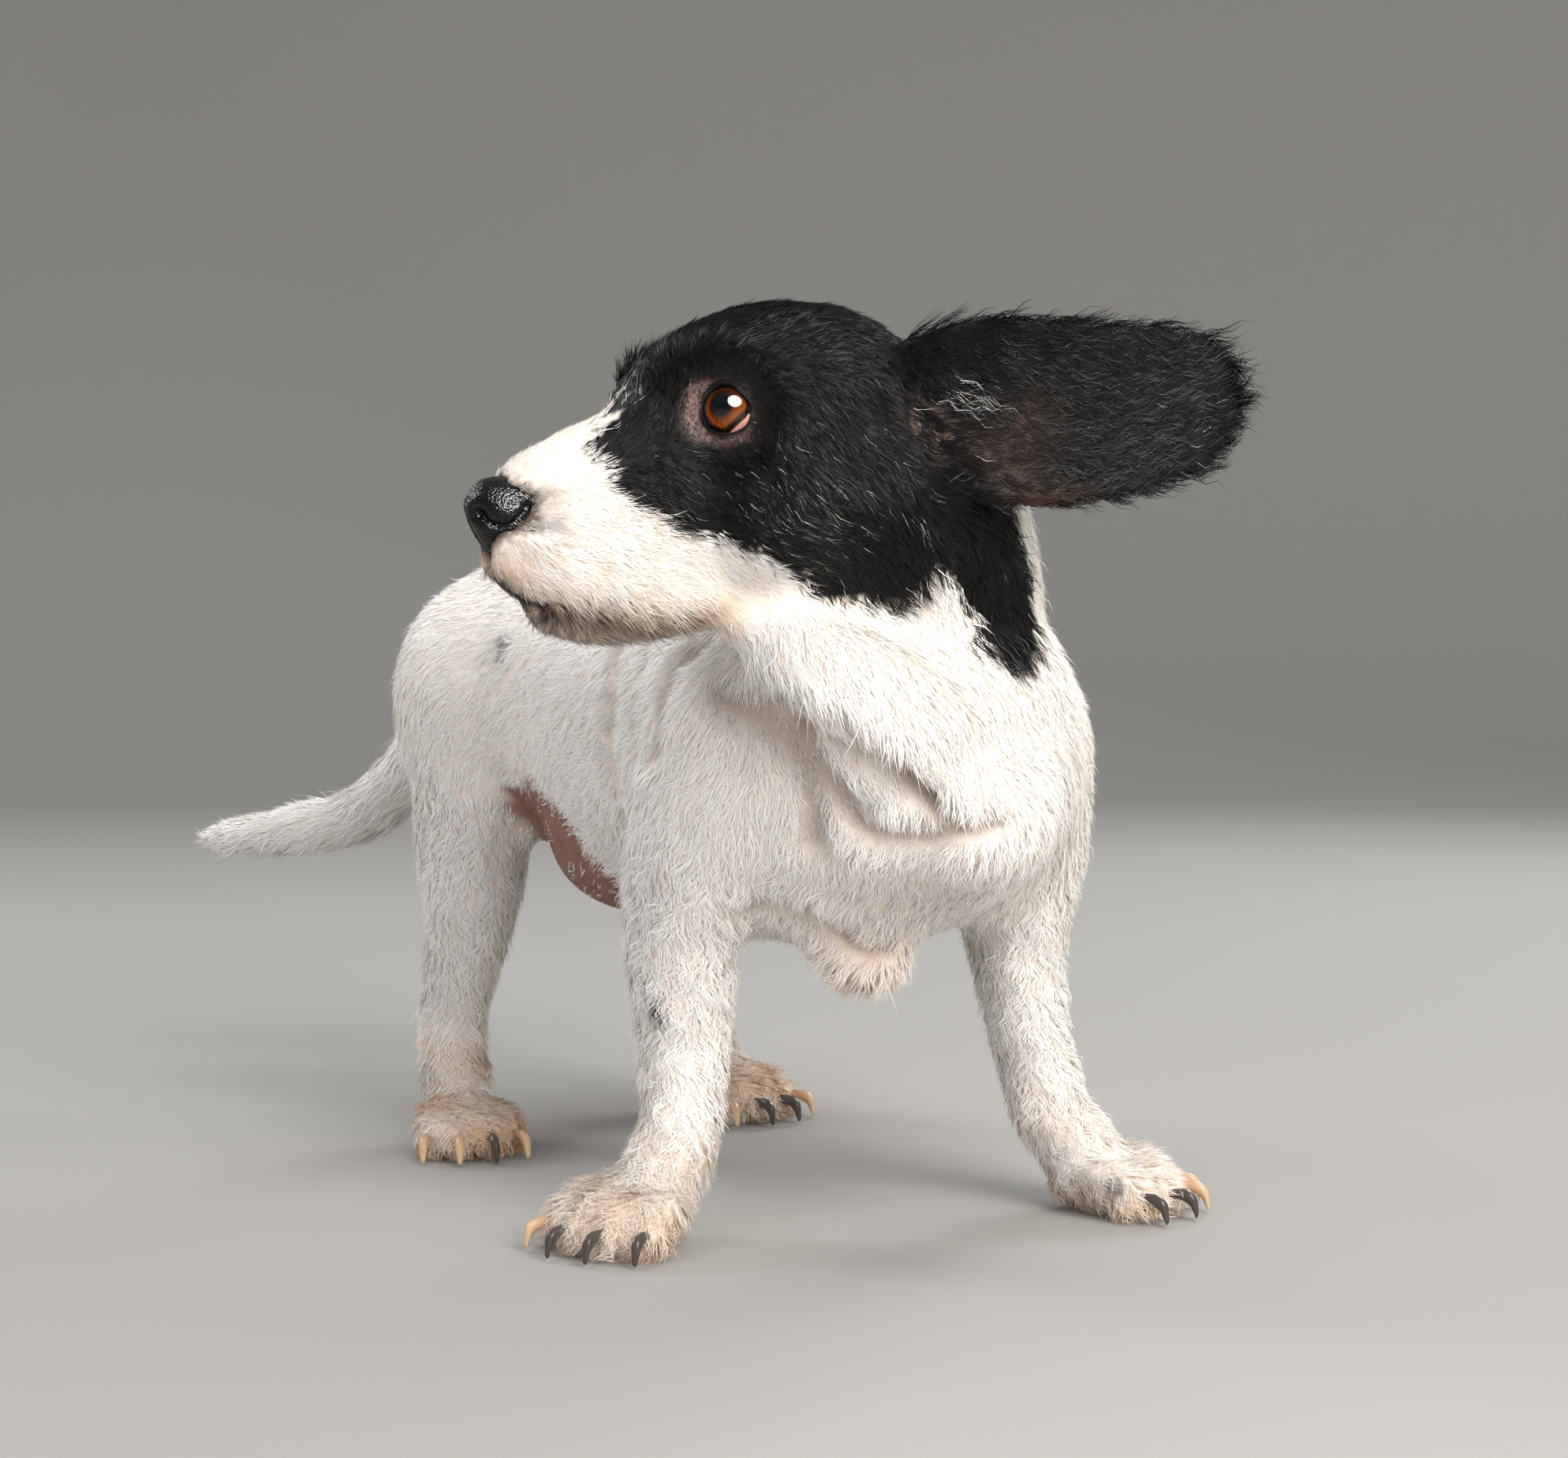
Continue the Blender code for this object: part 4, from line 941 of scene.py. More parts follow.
HEAD_STROKES = [
    (("head", "nose"), 0.020, (0, 0, 0), [
        (0.090, 0, -0.03), (0.038, 0, 0.002), (0.014, 0, 0.036), (-0.049, 0, 0.052), (-0.105, 0, 0.030),
    ]),
    (("head",), 0.012, (0, 0.2, 0), [(0.014, 0.020, 0.004), (-0.002, 0.026, 0.028), (-0.034, 0.030, 0.048)]),
    (("head", "nose"), 0.018, (0, 0, -0.25), [
        (0.090, 0.012, -0.045), (0.045, 0.030, -0.052), (0.010, 0.036, -0.054), (-0.030, 0.050, -0.050),
        (-0.085, 0.052, -0.045),
    ]),
    (("head", "jaw_lower"), 0.010, (0, 0, -0.7), [
        (0.092, 0.004, -0.066), (0.060, 0.020, -0.078), (0.01, 0.030, -0.082), (-0.04, 0.040, -0.08),
    ]),
    (("jaw_lower",), 0.014, (0, 0, 0), [(0.080, 0, -0.08), (0.030, 0, -0.09), (-0.040, 0, -0.088)]),
    (("head", "neck"), 0.024, (0, 0, -0.8), [
        (-0.020, 0.050, -0.030), (-0.060, 0.058, -0.050), (-0.095, 0.052, -0.070),
    ]),
    (("ear_left",), 0.03, (0, 0, 0), [
        (-0.060, 0.036, 0.008), (-0.100, 0.056, 0.001), (-0.150, 0.070, 0.000), (-0.210, 0.078, 0.006),
    ]),
    (("ear_right",), 0.03, (0, 0, 0), [
        (-0.056, -0.038, 0.022), (-0.068, -0.066, -0.014), (-0.081, -0.080, -0.095),
    ]),
]
strokes = [(kinds, reach, np.array(pull, float), on_body(path)) for kinds, reach, pull, path in BODY_STROKES]
for kinds, reach, pull, path in HEAD_STROKES:
    for side in both_sides(path)[: 1 if kinds[0].startswith("ear") else 2]:
        pull_here = np.array(pull, float) * (1, 1 if side[:, 1].sum() >= 0 else -1, 1)
        strokes.append((kinds, reach, pull_here @ HEAD_AXES, from_head(side)))
print("strokes", len(strokes))

# %% [markdown]
# ## Comb the coat
# At each point of the skin the strokes of its own part are blended, each by 1 / (0.15 + (distance
# / reach)^4), so that the nearest one leads. Round the eyes the hair is turned away from the ball,
# the brows stand forward and up, and the chin forward. The ways then soak into each other and are
# laid flat on the skin: w - (w . n) n.

# %% Comb the coat
BROWS = from_head([(0.026, -0.019, 0.017), (0.026, 0.019, 0.017)])
BROW_WAY = (0.75, 0, 0.65)
CHIN_WAY = (0.95, 0, -0.25)
COMB_ROUNDS = 16

comb = np.zeros_like(skin_points)
for kinds, reach, pull, path in strokes:
    mine = np.flatnonzero(sum(owned[n] for n in FLESH if n.startswith(kinds)))
    gap, way, _ = along(skin_points[mine], path)
    comb[mine] += (way + pull) / (0.15 + (gap / reach) ** 4)[:, None]
comb = unit(comb)
for place in EYES.values():
    away = skin_points - place
    gap = np.linalg.norm(away, axis=1, keepdims=True)
    comb += 1.3 * away / gap * np.exp(-((gap / 0.022) ** 2))
for place in BROWS:
    comb += 2.0 * near(skin_points, place, 0.012)[:, None] * (BROW_WAY @ HEAD_AXES)
chin = near(in_head, CHIN, 0.018) * part_share("jaw_lower")
comb += 1.6 * chin[:, None] * (CHIN_WAY @ HEAD_AXES)
comb = spread(comb, COMB_ROUNDS)
comb = unit(comb - normals * (comb * normals).sum(1, keepdims=True))
print("combed down", round(float((comb[:, 2] < 0).mean()), 2), "of the skin")

# %% [markdown]
# ## Where the coat is thin
# In front of and below the eyes and behind the nose the hair is so short that the skin shows
# through. The belly is almost bare, and so is the hollow of the raised ear, which turns its inside
# to the viewer. Each of these places is a share from 0 to 1, again from paths and soft steps.

# %% Thin places
BELLY_LINE = np.array([
    # how far back, the height below which the belly is bare
    (-0.120, 0.085), (-0.090, 0.110), (-0.065, 0.150), (-0.048, 0.176), (-0.020, 0.186), (0.006, 0.190),
    (0.030, 0.186), (0.055, 0.165), (0.080, 0.135), (0.130, 0.100),
])
BELLY_LOWER_LEFT = 0.016
EAR_HOLLOW = on_body([(0.010, -0.312, 0.345), (0.021, -0.319, 0.332), (0.029, -0.318, 0.356)])
EAR_PINK = on_body([(-0.010, -0.299, 0.356), (-0.003, -0.305, 0.345)])
EAR_BROWN = on_body([(0.025, -0.324, 0.319), (0.041, -0.329, 0.319)])
LID_WAY = np.array([0.640, 0.765, 0.060])  # the way that the left eye's opening faces, in the head
LID_LEVEL = unit(np.cross([0, 0, 1], LID_WAY))


def ear_sides(node):
    """On an ear, how near each point is to its edge, 1 - |normal . the ear's thin axis|, and how far
    it faces the way that the inside does."""
    own = owned[node]
    spread_out = skin_points[own] - skin_points[own].mean(0)
    thin_axis = np.linalg.svd(spread_out, full_matrices=False)[2][2]
    return own * (1 - abs(normals @ thin_axis)), own * (normals @ thin_axis * np.sign(-thin_axis[1]))


left_edge, left_inner = ear_sides("ear_left")
right_edge, _ = ear_sides("ear_right")
inner = rise(left_inner, 0.2, 0.7)
ear_bare = near_path(skin_points, EAR_HOLLOW, 0.009) * inner
ear_pink = near_path(skin_points, EAR_PINK, 0.006) * inner
ear_brown = np.clip(near_path(skin_points, EAR_BROWN, 0.007) + 0.45 * ear_bare, 0, 1) * inner
below_line = np.interp(skin_points[:, 1] - SPOT[1], *BELLY_LINE.T) - skin_points[:, 2]
below_line -= BELLY_LOWER_LEFT * rise(skin_points[:, 0], 0.0, 0.03)
belly = part_share("chest", "loin") * rise(below_line + 0.004 * swirl(skin_points, 0.02, 21), -0.006, 0.008)

mirrored = in_head * np.where(in_head[:, 1:2] > 0, 1, (1, -1, 1))
from_eye = mirrored - to_head(EYES["left"])
behind_eye = from_eye @ LID_LEVEL
above_eye = from_eye @ np.cross(LID_WAY, LID_LEVEL)
round_eye = np.hypot(behind_eye, above_eye) + 1e-9
ring_edge = 0.0128 + 0.0075 * rise(-behind_eye / round_eye, 0.35, 0.95)
ring_edge += 0.0032 * rise(-above_eye / round_eye, 0.3, 0.9)
ragged_gap = eye_gap + 0.0012 * swirl(skin_points, 0.005, 22)
eye_ring = 1 - rise(ragged_gap, ring_edge - 0.0050, ring_edge + 0.0024)
nose_ring = 1 - rise(nose_gap, 0.0006, 0.0042)
lip_line = np.exp(-((mouth_gap / 0.0020) ** 2)) * slit
bare = np.clip(belly + 0.12 * ear_bare + 0.7 * ear_pink + 0.85 * eye_ring + 0.45 * nose_ring, 0, 1)
dark_rim = lip_line + (1 - rise(eye_gap, 0.0132, 0.0150)) + 0.8 * (1 - rise(nose_gap, 0.0002, 0.0034))
dark_rim = np.clip(dark_rim, 0, 1)
print("bare share", round(float(bare.mean()), 3), "dark rim", round(float(dark_rim.mean()), 3))

# %% [markdown]
# ## How full and how long
# Clippers leave the coat short, but not even: hair stays longer along the edges of the ears, on
# the cheeks, under the brisket, over the brows and along the lip, and it is rubbed short in the
# creases. One table holds all of these changes: each multiplies the length by 1 + change * share.
# No hair at all grows on the eyeballs' skin, under the leather, in the slit or on the soles.

# %% Fullness and length
EAR_TUFT = on_body([(-0.002, -0.304, 0.367), (0.006, -0.308, 0.364)])
CHEEKS = from_head([(-0.050, -0.050, -0.045), (-0.050, 0.050, -0.045)])

bald = (eye_gap < EYE_RADIUS + SOCKET_GAP) | (nose_gap < 0.0003) | (skin_points[:, 2] < 0.0022)
bald |= (mouth_gap < 0.0014) & (slit > 0.5)
fullness = np.where(bald, 0.0, 1.0)
for share, loss in ((eye_ring, 0.25), (nose_ring, 0.35), (belly, 0.95), (ear_bare, 0.35), (crease, 0.30)):
    fullness *= 1 - loss * share

over_lip = np.clip(up - np.interp(forward, *MOUTH.T), -0.01, 0.02)
fringe = rise(over_lip, 0.0005, 0.002) * (1 - rise(over_lip, 0.004, 0.009)) * rise(0.034 - mouth_gap, 0, 0.02)
fringe *= rise(forward, -0.005, 0.02) * (1 - rise(forward, 0.064, 0.072))
bridge = rise(up, -0.030, -0.012) * rise(forward, 0.022, 0.035) * (forward < 0.12)
whiskers = rise(forward, 0.000, 0.030) * rise(-up, 0.030, 0.052) * part_share("head", "jaw_lower")
ear_tuft = near_path(skin_points, EAR_TUFT, 0.0042) * inner
brows = [near(skin_points, place, 0.010) for place in BROWS]
ear_edges = rise(spread(left_edge + right_edge, 3), 0.25, 0.75)
hair_length *= 1 + 0.55 * ear_edges - 0.30 * rise(spread(left_inner, 3), 0.4, 0.9)
LENGTH_CHANGES = [
    # (where, as a share from 0 to 1; how much longer the hair is there, or shorter below 0)
    (eye_ring, -0.70),
    (1 - rise(eye_gap, 0.0145, 0.021), -0.45),
    (nose_ring, -0.35),
    (belly, -0.35),
    (near(skin_points, BRISKET_TUFT, 0.040), 0.30),
    (crease, -0.72),
    (near_path(skin_points, on_body(FOLDS["throat_edge"][2]), 0.008), 0.45),
    (near_path(skin_points, on_body(FOLDS["brisket_edge"][2]), 0.014), 0.35),
    (slit * (1 - rise(mouth_gap, 0.003, 0.007)), -0.55),
    (fringe, 0.85),
    (rise(forward, 0.080, 0.090), -0.45),
    (bridge, -0.30),
    (whiskers, 0.25),
    *[(brow, 1.0) for brow in brows],
    (chin, -0.25),
    *[(near(skin_points, place, 0.022), 0.75) for place in CHEEKS],
    (ear_tuft, 0.5),
]
for share, change in LENGTH_CHANGES:
    hair_length *= 1 + change * share
hair_lift = hair_lift + 0.16 * whiskers + 0.75 * sum(brows) + 0.20 * chin
print("length now mm", round(hair_length.min() * 1000, 1), "to", round(hair_length.max() * 1000, 1))

# %% [markdown]
# ## Thin-haired hide
# What shows of the skin is mostly the short underfur between the tufts, so it takes the colour of
# the coat, a little deeper. Round the eyes and nose, on the belly and inside the raised ear the
# skin itself shows, pinkish brown and matt, speckled where the coat is black, with fine creases.
# The numbers stored on the skin say where, and each is laid as one thin layer of colour. Deep in
# the folds the hide is painted darker: that is painted shade.

# %% Finish of the hide
MOTTLE_SCALE = 140  # patches of 7 mm
SPECK_SCALE = 800  # specks of 1.2 mm, about twice as coarse as real ones, so that they show
GRAIN_SCALE = 900  # creases 1.1 mm apart

# Living hide, thin-haired and slightly waxy: the eye sees a matt, mottled surface with fine creases.
hide, tree, shader = surface("thin_haired_hide", 0.62, Specular_IOR_Level=0.35)
place = add(tree, "ShaderNodeTexCoord").outputs["Object"]
mottle = add(
    tree, "ShaderNodeTexNoise", {"Scale": MOTTLE_SCALE, "Detail": 4, "Roughness": 0.6}, {"Vector": place}
).outputs["Fac"]
speck = add(
    tree, "ShaderNodeTexNoise", {"Scale": SPECK_SCALE, "Detail": 3, "Roughness": 0.7}, {"Vector": place}
).outputs["Fac"]
speck = add(tree, "ShaderNodeMapRange", {"From Min": 0.36, "From Max": 0.66}, {"Value": speck})
# The crease colour is painted shade in the folds; the stain carries the brisket's painted shade too.
coated = layered(
    tree, "#F4ECE3", (mottle, "#E3D5C7"), ("crease", "#8E7866"), ("stain_and_shade", "#C69E74"), ("grey", "#2C2827"),
    ("black", "#0E0C0C"), ("brown", "#3A2A24"),
)
pink = layered(tree, "#A27565", (mottle, "#5F4137"))
dusky = layered(tree, "#A1847D", (speck.outputs["Result"], "#2E2422"))
bare_skin = layered(tree, pink, ("black", dusky))
colour = layered(tree, coated, ("bare", bare_skin), ("rim", "#140E0D"))
tree.links.new(colour, shader.inputs["Base Color"])
grain = add(tree, "ShaderNodeTexVoronoi", {"Scale": GRAIN_SCALE}, {"Vector": place}).outputs["Distance"]
relief = add(tree, "ShaderNodeBump", {"Strength": 0.35, "Distance": 0.0006}, {"Height": grain})
tree.links.new(relief.outputs["Normal"], shader.inputs["Normal"])
print("hide", len(tree.nodes), "nodes")

# %% [markdown]
# ## The skin piece
# The skin is one mesh that stands for every solid of flesh. Its own unwrap, OFBake, is a plain one,
# cut where the surface turns by more than 66 degrees: no image is ever painted on it, but it gives
# each tuft of the coat a place of its own. The colours of the whole coat are stored on its points.

# %% Skin piece
skin_mesh = mesh_of("skin", skin_points, skin_faces)
skin_numbers = {
    "black": black_at(skin_points, ear_share),
    "stain_and_shade": stain_and_shade,
    "grey": np.clip(grey_at(skin_points) + dusk, 0, 1),
    "bare": bare,
    "rim": dark_rim,
    "crease": crease,
    "brown": ear_brown,
}
for title, values in skin_numbers.items():
    attribute(skin_mesh, title, values)

skin = new_object("skin", skin_mesh, hide)
bpy.context.view_layer.objects.active = skin
skin.select_set(True)
bpy.ops.object.mode_set(mode="EDIT")
bpy.ops.mesh.select_all(action="SELECT")
bpy.ops.uv.smart_project(angle_limit=math.radians(66), island_margin=0.001)
bpy.ops.object.mode_set(mode="OBJECT")
skin.select_set(False)
skin_mesh.uv_layers[0].name = "OFBake"
skin_uv = mesh_numbers(skin_mesh.uv_layers["OFBake"].uv, "vector", float, 2).reshape(-1, 4, 2)
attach(skin, "root")
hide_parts(*[n for n in FLESH if n != "nose"])
print("skin triangles", 2 * len(skin_faces), "uv", skin_uv.min().round(3), skin_uv.max().round(3))

# %% [markdown]
# ## Wet eye
# A dog's eye shows almost no white: the iris fills the opening, and a strip of pink third eyelid
# shows in the corner away from the gaze. Numbers stored on the ball draw all of it: the angle from
# the gaze picks pupil, iris and rim from a ramp, the turn round the gaze stretches a noise into
# fibres, and the height over the edge of the third eyelid lays its pink on. The upper part of the
# iris lies in the shade of the lid, which is painted, since the light comes from the front.

# %% Finish of the eye
STOPS = {
    # angle from the gaze, degrees: colour
    0.0: "#01040C", 18.4: "#02050D", 20.2: "#1E0B05", 24.0: "#4E220D", 32.0: "#8A4417", 40.0: "#AC561B",
    44.0: "#6E3212", 46.5: "#22120D", 52.0: "#171010", 62.0: "#1F1412",
}
FIBRE_SCALE = (9.0, 0.06, 1.0)  # many fibres round the iris, each as long as the iris is wide
VEIN_SCALE = 700  # veins 1.4 mm apart

# Cornea over iris: a clear wet coat gives one sharp gleam, and the iris under it is matt.
eye_wet, tree, shader = surface(
    "wet_eye", 0.12, Coat_Weight=1.0, Coat_Roughness=0.015, Coat_IOR=1.5, Specular_IOR_Level=0.0
)
stored = {
    title: add(tree, "ShaderNodeAttribute", attribute_name=title).outputs["Fac"]
    for title in ("aim", "spin", "haw", "raised")
}
fibre_place = add(tree, "ShaderNodeCombineXYZ", None, {"X": stored["spin"], "Y": stored["aim"]}).outputs[0]
stretch = add(tree, "ShaderNodeMapping", {"Scale": FIBRE_SCALE}, {"Vector": fibre_place}).outputs[0]
fibre = add(tree, "ShaderNodeTexNoise", {"Scale": 1.6, "Detail": 5, "Roughness": 0.7}, {"Vector": stretch})
ring = add(tree, "ShaderNodeValToRGB", None, {"Fac": stored["aim"]})
ring.color_ramp.elements.remove(ring.color_ramp.elements[1])
for degrees, paint in STOPS.items():
    element = ring.color_ramp.elements[0] if degrees == 0 else ring.color_ramp.elements.new(degrees / 90)
    element.position = degrees / 90
    element.color = linear(paint)
EYE_RANGES = {
    # share: (the number it follows, (from, to) in that number, (from, to) in the share)
    "fibre": (fibre.outputs["Fac"], (0.38, 0.64), (0.30, 1.6)),
    "raised": (stored["raised"], (-0.15, 0.55), (1.0, 0.12)),
    # The band is a dark strip before the third eyelid: partly the iris's own dark rim, partly painted shade.
    "band": (stored["haw"], (-0.0034, -0.0020), (0.0, 1.0)),
    "lid": (stored["haw"], (-0.0001, 0.0002), (0.0, 1.0)),
}
shares = {}
for title, (source, (low, high), (first, last)) in EYE_RANGES.items():
    limits = {"From Min": low, "From Max": high, "To Min": first, "To Max": last}
    shares[title] = add(tree, "ShaderNodeMapRange", limits, {"Value": source}).outputs["Result"]
lit = add(tree, "ShaderNodeMath", None, {0: shares["fibre"], 1: shares["raised"]}, operation="MULTIPLY")
tone = add(
    tree, "ShaderNodeVectorMath", None, {0: ring.outputs["Color"], "Scale": lit.outputs[0]}, operation="SCALE"
)
place = add(tree, "ShaderNodeTexCoord").outputs["Object"]
vein = add(tree, "ShaderNodeTexNoise", {"Scale": VEIN_SCALE, "Detail": 3}, {"Vector": place})
haw_paint = layered(tree, "#D9A79B", (vein.outputs["Fac"], "#B87468"))
# The band's dark colour is partly the iris's dark rim and partly painted shade.
colour = layered(tree, tone.outputs["Vector"], (shares["band"], "#20140F"), (shares["lid"], haw_paint))
tree.links.new(colour, shader.inputs["Base Color"])
print("iris stops", len(STOPS))

# %% [markdown]
# ## Eyeballs
# The ball is a grid of rings round the way it looks, so that the rings are the iris's own. The
# cornea stands a millimetre proud of it: r = R + h * (1 - (angle / edge)^2)^2. The pupil looks a
# little inward of the iris's middle, as the iris shows through the thick of the cornea, so the
# angle blends from one centre to the other. The third eyelid is a step of less than half a
# millimetre in the same surface.

# %% Eyeballs
EYE_RINGS, EYE_SIDES = 72, 96
POLE_GAP = 0.012  # radians between a pole and the first ring
BALL_SINK = 0.0001
CORNEA_EDGE = math.radians(56)
CORNEA_RISE = 0.0010
IRIS_EDGE = math.radians(47)
GAZES = {
    # side: (the way the pupil faces, the way the middle of the iris faces)
    "left": ((0.661, 0.736, 0.145), (0.540, 0.838, 0.040)),
    "right": ((0.730, -0.665, 0.145), (0.640, -0.765, 0.060)),
}
HAW_AXES = {"left": (0.360, 0.930, -0.040), "right": (0.360, -0.930, -0.040)}
HAW_TILT = (0.68, -0.73)
HAW_FROM = 0.0062
HAW_RISE = 0.0004
around = np.arange(EYE_SIDES) * 2 * math.pi / EYE_SIDES


def turned(axis):
    """Three unit directions: two across an axis, the first of them level, and the axis."""
    axis = unit(np.asarray(axis, float))
    level = unit(np.cross([0, 0, 1], axis))
    return level, np.cross(axis, level), axis


def ways_round(angle, level, upward, axis):
    """Unit directions at an angle from an axis, all the way round it:
    sin(angle) * (cos(b) * level + sin(b) * upward) + cos(angle) * axis."""
    across = np.cos(around)[:, None] * level + np.sin(around)[:, None] * upward
    return np.sin(angle)[..., None] * across + np.cos(angle)[..., None] * axis


def eyeball_shape(side):
    """The points of an eyeball, place + r * way, and the four numbers stored on them."""
    gaze, iris_way = GAZES[side]
    angle = np.linspace(POLE_GAP, math.pi - POLE_GAP, EYE_RINGS)[:, None]
    level, upward, axis = turned(np.array(gaze) @ HEAD_AXES)
    ways = np.vstack([ways_round(angle, level, upward, axis).reshape(-1, 3), axis, -axis])
    bulge = CORNEA_RISE * np.clip(1 - (angle / CORNEA_EDGE) ** 2, 0, 1) ** 2
    poles = [EYE_RADIUS + CORNEA_RISE - BALL_SINK, EYE_RADIUS]
    radius = np.concatenate([np.repeat(EYE_RADIUS - BALL_SINK + bulge, EYE_SIDES), poles])
    rearwards, raised, _ = turned(np.array(HAW_AXES[side]) @ HEAD_AXES)
    rearwards = rearwards if side == "left" else -rearwards
    haw = EYE_RADIUS * (ways @ rearwards * HAW_TILT[0] + ways @ raised * HAW_TILT[1]) - HAW_FROM
    points = EYES[side] + (radius + HAW_RISE * rise(haw, -0.0003, 0.0003))[:, None] * ways
    from_iris = np.arccos(np.clip(ways @ unit(np.array(iris_way) @ HEAD_AXES), -1, 1))
    from_gaze = np.concatenate([np.repeat(angle.ravel(), EYE_SIDES), [0, math.pi]])
    blend = rise(from_iris, 0.3 * IRIS_EDGE, IRIS_EDGE)
    aim = (from_gaze * (1 - blend) + from_iris * blend) / (math.pi / 2)
    spin = np.concatenate([np.tile(around, EYE_RINGS), [0, 0]])
    return points, {"aim": aim, "spin": spin, "haw": haw, "raised": ways @ raised}


quads = grid_faces(EYE_RINGS, EYE_SIDES, round_columns=True)
eye_faces = np.vstack([quads[:, [0, 2, 1]], quads[:, [0, 3, 2]], cap_faces(EYE_RINGS, EYE_SIDES)])
for side in EYES:
    points, numbers = eyeball_shape(side)
    mesh = mesh_of("eyeball_" + side, points, eye_faces)
    for title, values in numbers.items():
        attribute(mesh, title, values)
    eyeball = new_object("eyeball_" + side, mesh, eye_wet)
    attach(eyeball, "root")
    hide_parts("eye_" + side)
    wet_pieces.objects.link(eyeball)
print("eyeballs", list(EYES), "radius mm", round(1000 * EYE_RADIUS, 1))

# %% [markdown]
# ## Eyelids
# The lids are a ring round each eye that starts on the ball, rolls over a rim as thick as a coin
# and sinks into the skin. They could be pulled out of the skin itself, but its quads are too coarse
# for so fine a rim. Round the opening the rim lies at an angle that is smallest above and below,
# which gives the almond shape. Across it, a short profile gives the angle past the rim and the
# height over the ball. The roots of the lids' own short hairs are drawn here too.

# %% Eyelids
LID_OPEN = 58.0
LID_RINGS = 34
LID_TUFTS = 420
LID_BUMPS = [
    # degrees the opening closes by, at how far round, over how wide
    (11, 42, 32), (5, 95, 30), (4, 262, 30), (-6, 345, 34),
]
LID_PROFILE = np.array([
    # degrees past the rim, mm over the ball
    (1.5, -0.5), (0.0, 0.05), (-1.4, 0.65), (-0.6, 1.15), (3.0, 1.45), (9.0, 1.55), (17.0, 1.35),
    (26.0, 0.75), (36.0, -0.4), (46.0, -2.2),
])
LID_AXES = {"left": LID_WAY, "right": LID_WAY * (1, -1, 1)}
lid_steps = np.linspace(0, len(LID_PROFILE) - 1, LID_RINGS)
past, over = (np.interp(lid_steps, range(len(LID_PROFILE)), row)[:, None] for row in LID_PROFILE.T)
bare_round = np.maximum(rise(-np.cos(around), 0.35, 0.95), rise(-np.sin(around), 0.3, 0.9))


def eyelid_shape(side):
    """A grid of points: place + (R + over) * way, where the way is LID_OPEN + past - closing degrees
    from the axis of the opening, and closing is the sum of amount * exp(-(turn / width)^2)."""
    level, upward, axis = turned(np.array(LID_AXES[side]) @ HEAD_AXES)
    level = level if side == "left" else -level
    closing = np.zeros(EYE_SIDES)
    for amount, at, wide in LID_BUMPS:
        closing += amount * np.exp(-((((np.degrees(around) - at + 180) % 360 - 180) / wide) ** 2))
    angle = np.radians(LID_OPEN + past - closing * (1 - rise(past, 4, 36)))
    heavy = 1 + 0.25 * rise(np.sin(around), 0.1, 1.0)
    return EYES[side] + (EYE_RADIUS + over / 1000 * heavy)[..., None] * ways_round(angle, level, upward, axis)


lid_numbers = {
    "rim": np.repeat(1 - rise(lid_steps, 3.2, 5.2), EYE_SIDES),
    "black": np.ones(LID_RINGS * EYE_SIDES),
    "bare": np.tile(0.85 * bare_round, LID_RINGS),
    **{title: np.zeros(LID_RINGS * EYE_SIDES) for title in ("stain_and_shade", "grey", "crease", "brown")},
}
lid_roots = []
for side in EYES:
    grid = eyelid_shape(side)
    quads = grid_faces(LID_RINGS, EYE_SIDES, round_columns=True)
    quads = quads[:, ::-1] if side == "right" else quads
    mesh = mesh_of("eyelids_" + side, grid.reshape(-1, 3), quads)
    for title, values in lid_numbers.items():
        attribute(mesh, title, values)
    rows = chance.choice(np.flatnonzero((past[:, 0] > 2.5) & (past[:, 0] < 27)), LID_TUFTS)
    columns = chance.integers(0, EYE_SIDES, LID_TUFTS)
    here, outer = grid[rows, columns], grid[rows + 1, columns]
    lid_roots.append((here, outer - here, here * 0 + EYES[side], bare_round[columns]))
    lids = new_object("eyelids_" + side, mesh, hide)
    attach(lids, "root")
print("eyelids, rim radius mm", round(EYE_RADIUS * math.sin(math.radians(LID_OPEN)) * 1000, 1))

# %% [markdown]
# ## Where tufts grow
# Blender can scatter hair with a particle system, but such hair is lost when a model is exported,
# so here each hair is real mesh, worked out as arrays. Five hairs grow from each root. The roots
# stand in order of the skin's area times its fullness, with a random step, which spaces them better
# than pure chance, and every number of the skin is read off at the root.

# %% Where tufts grow
HAIRS = 5
corners = np.concatenate([skin_faces[:, [0, 1, 2]], skin_faces[:, [0, 2, 3]]], 1).reshape(-1, 3)
corner_uv = np.concatenate([skin_uv[:, [0, 1, 2]], skin_uv[:, [0, 2, 3]]], 1).reshape(-1, 3, 2)
a, b, c = (skin_points[corners[:, k]] for k in range(3))
area = np.linalg.norm(np.cross(b - a, c - a), axis=1) / 2
growth = (area * (thickness * fullness)[corners].mean(1) / HAIRS).cumsum()
count = int(growth[-1])
places = np.searchsorted(growth, (np.arange(count) + chance.random(count)) * growth[-1] / count)
places = np.minimum(places, len(corners) - 1)
r, s = np.sqrt(chance.random(count)), chance.random(count)
weights = np.stack([1 - r, r * (1 - s), r * s], 1)


def at_roots(values):
    """The skin's values at the tufts' roots, weighed between the corners of each face."""
    wide = values.reshape(len(values), -1)[corners[places]]
    return (wide * weights[..., None]).sum(1).reshape(count, *values.shape[1:])


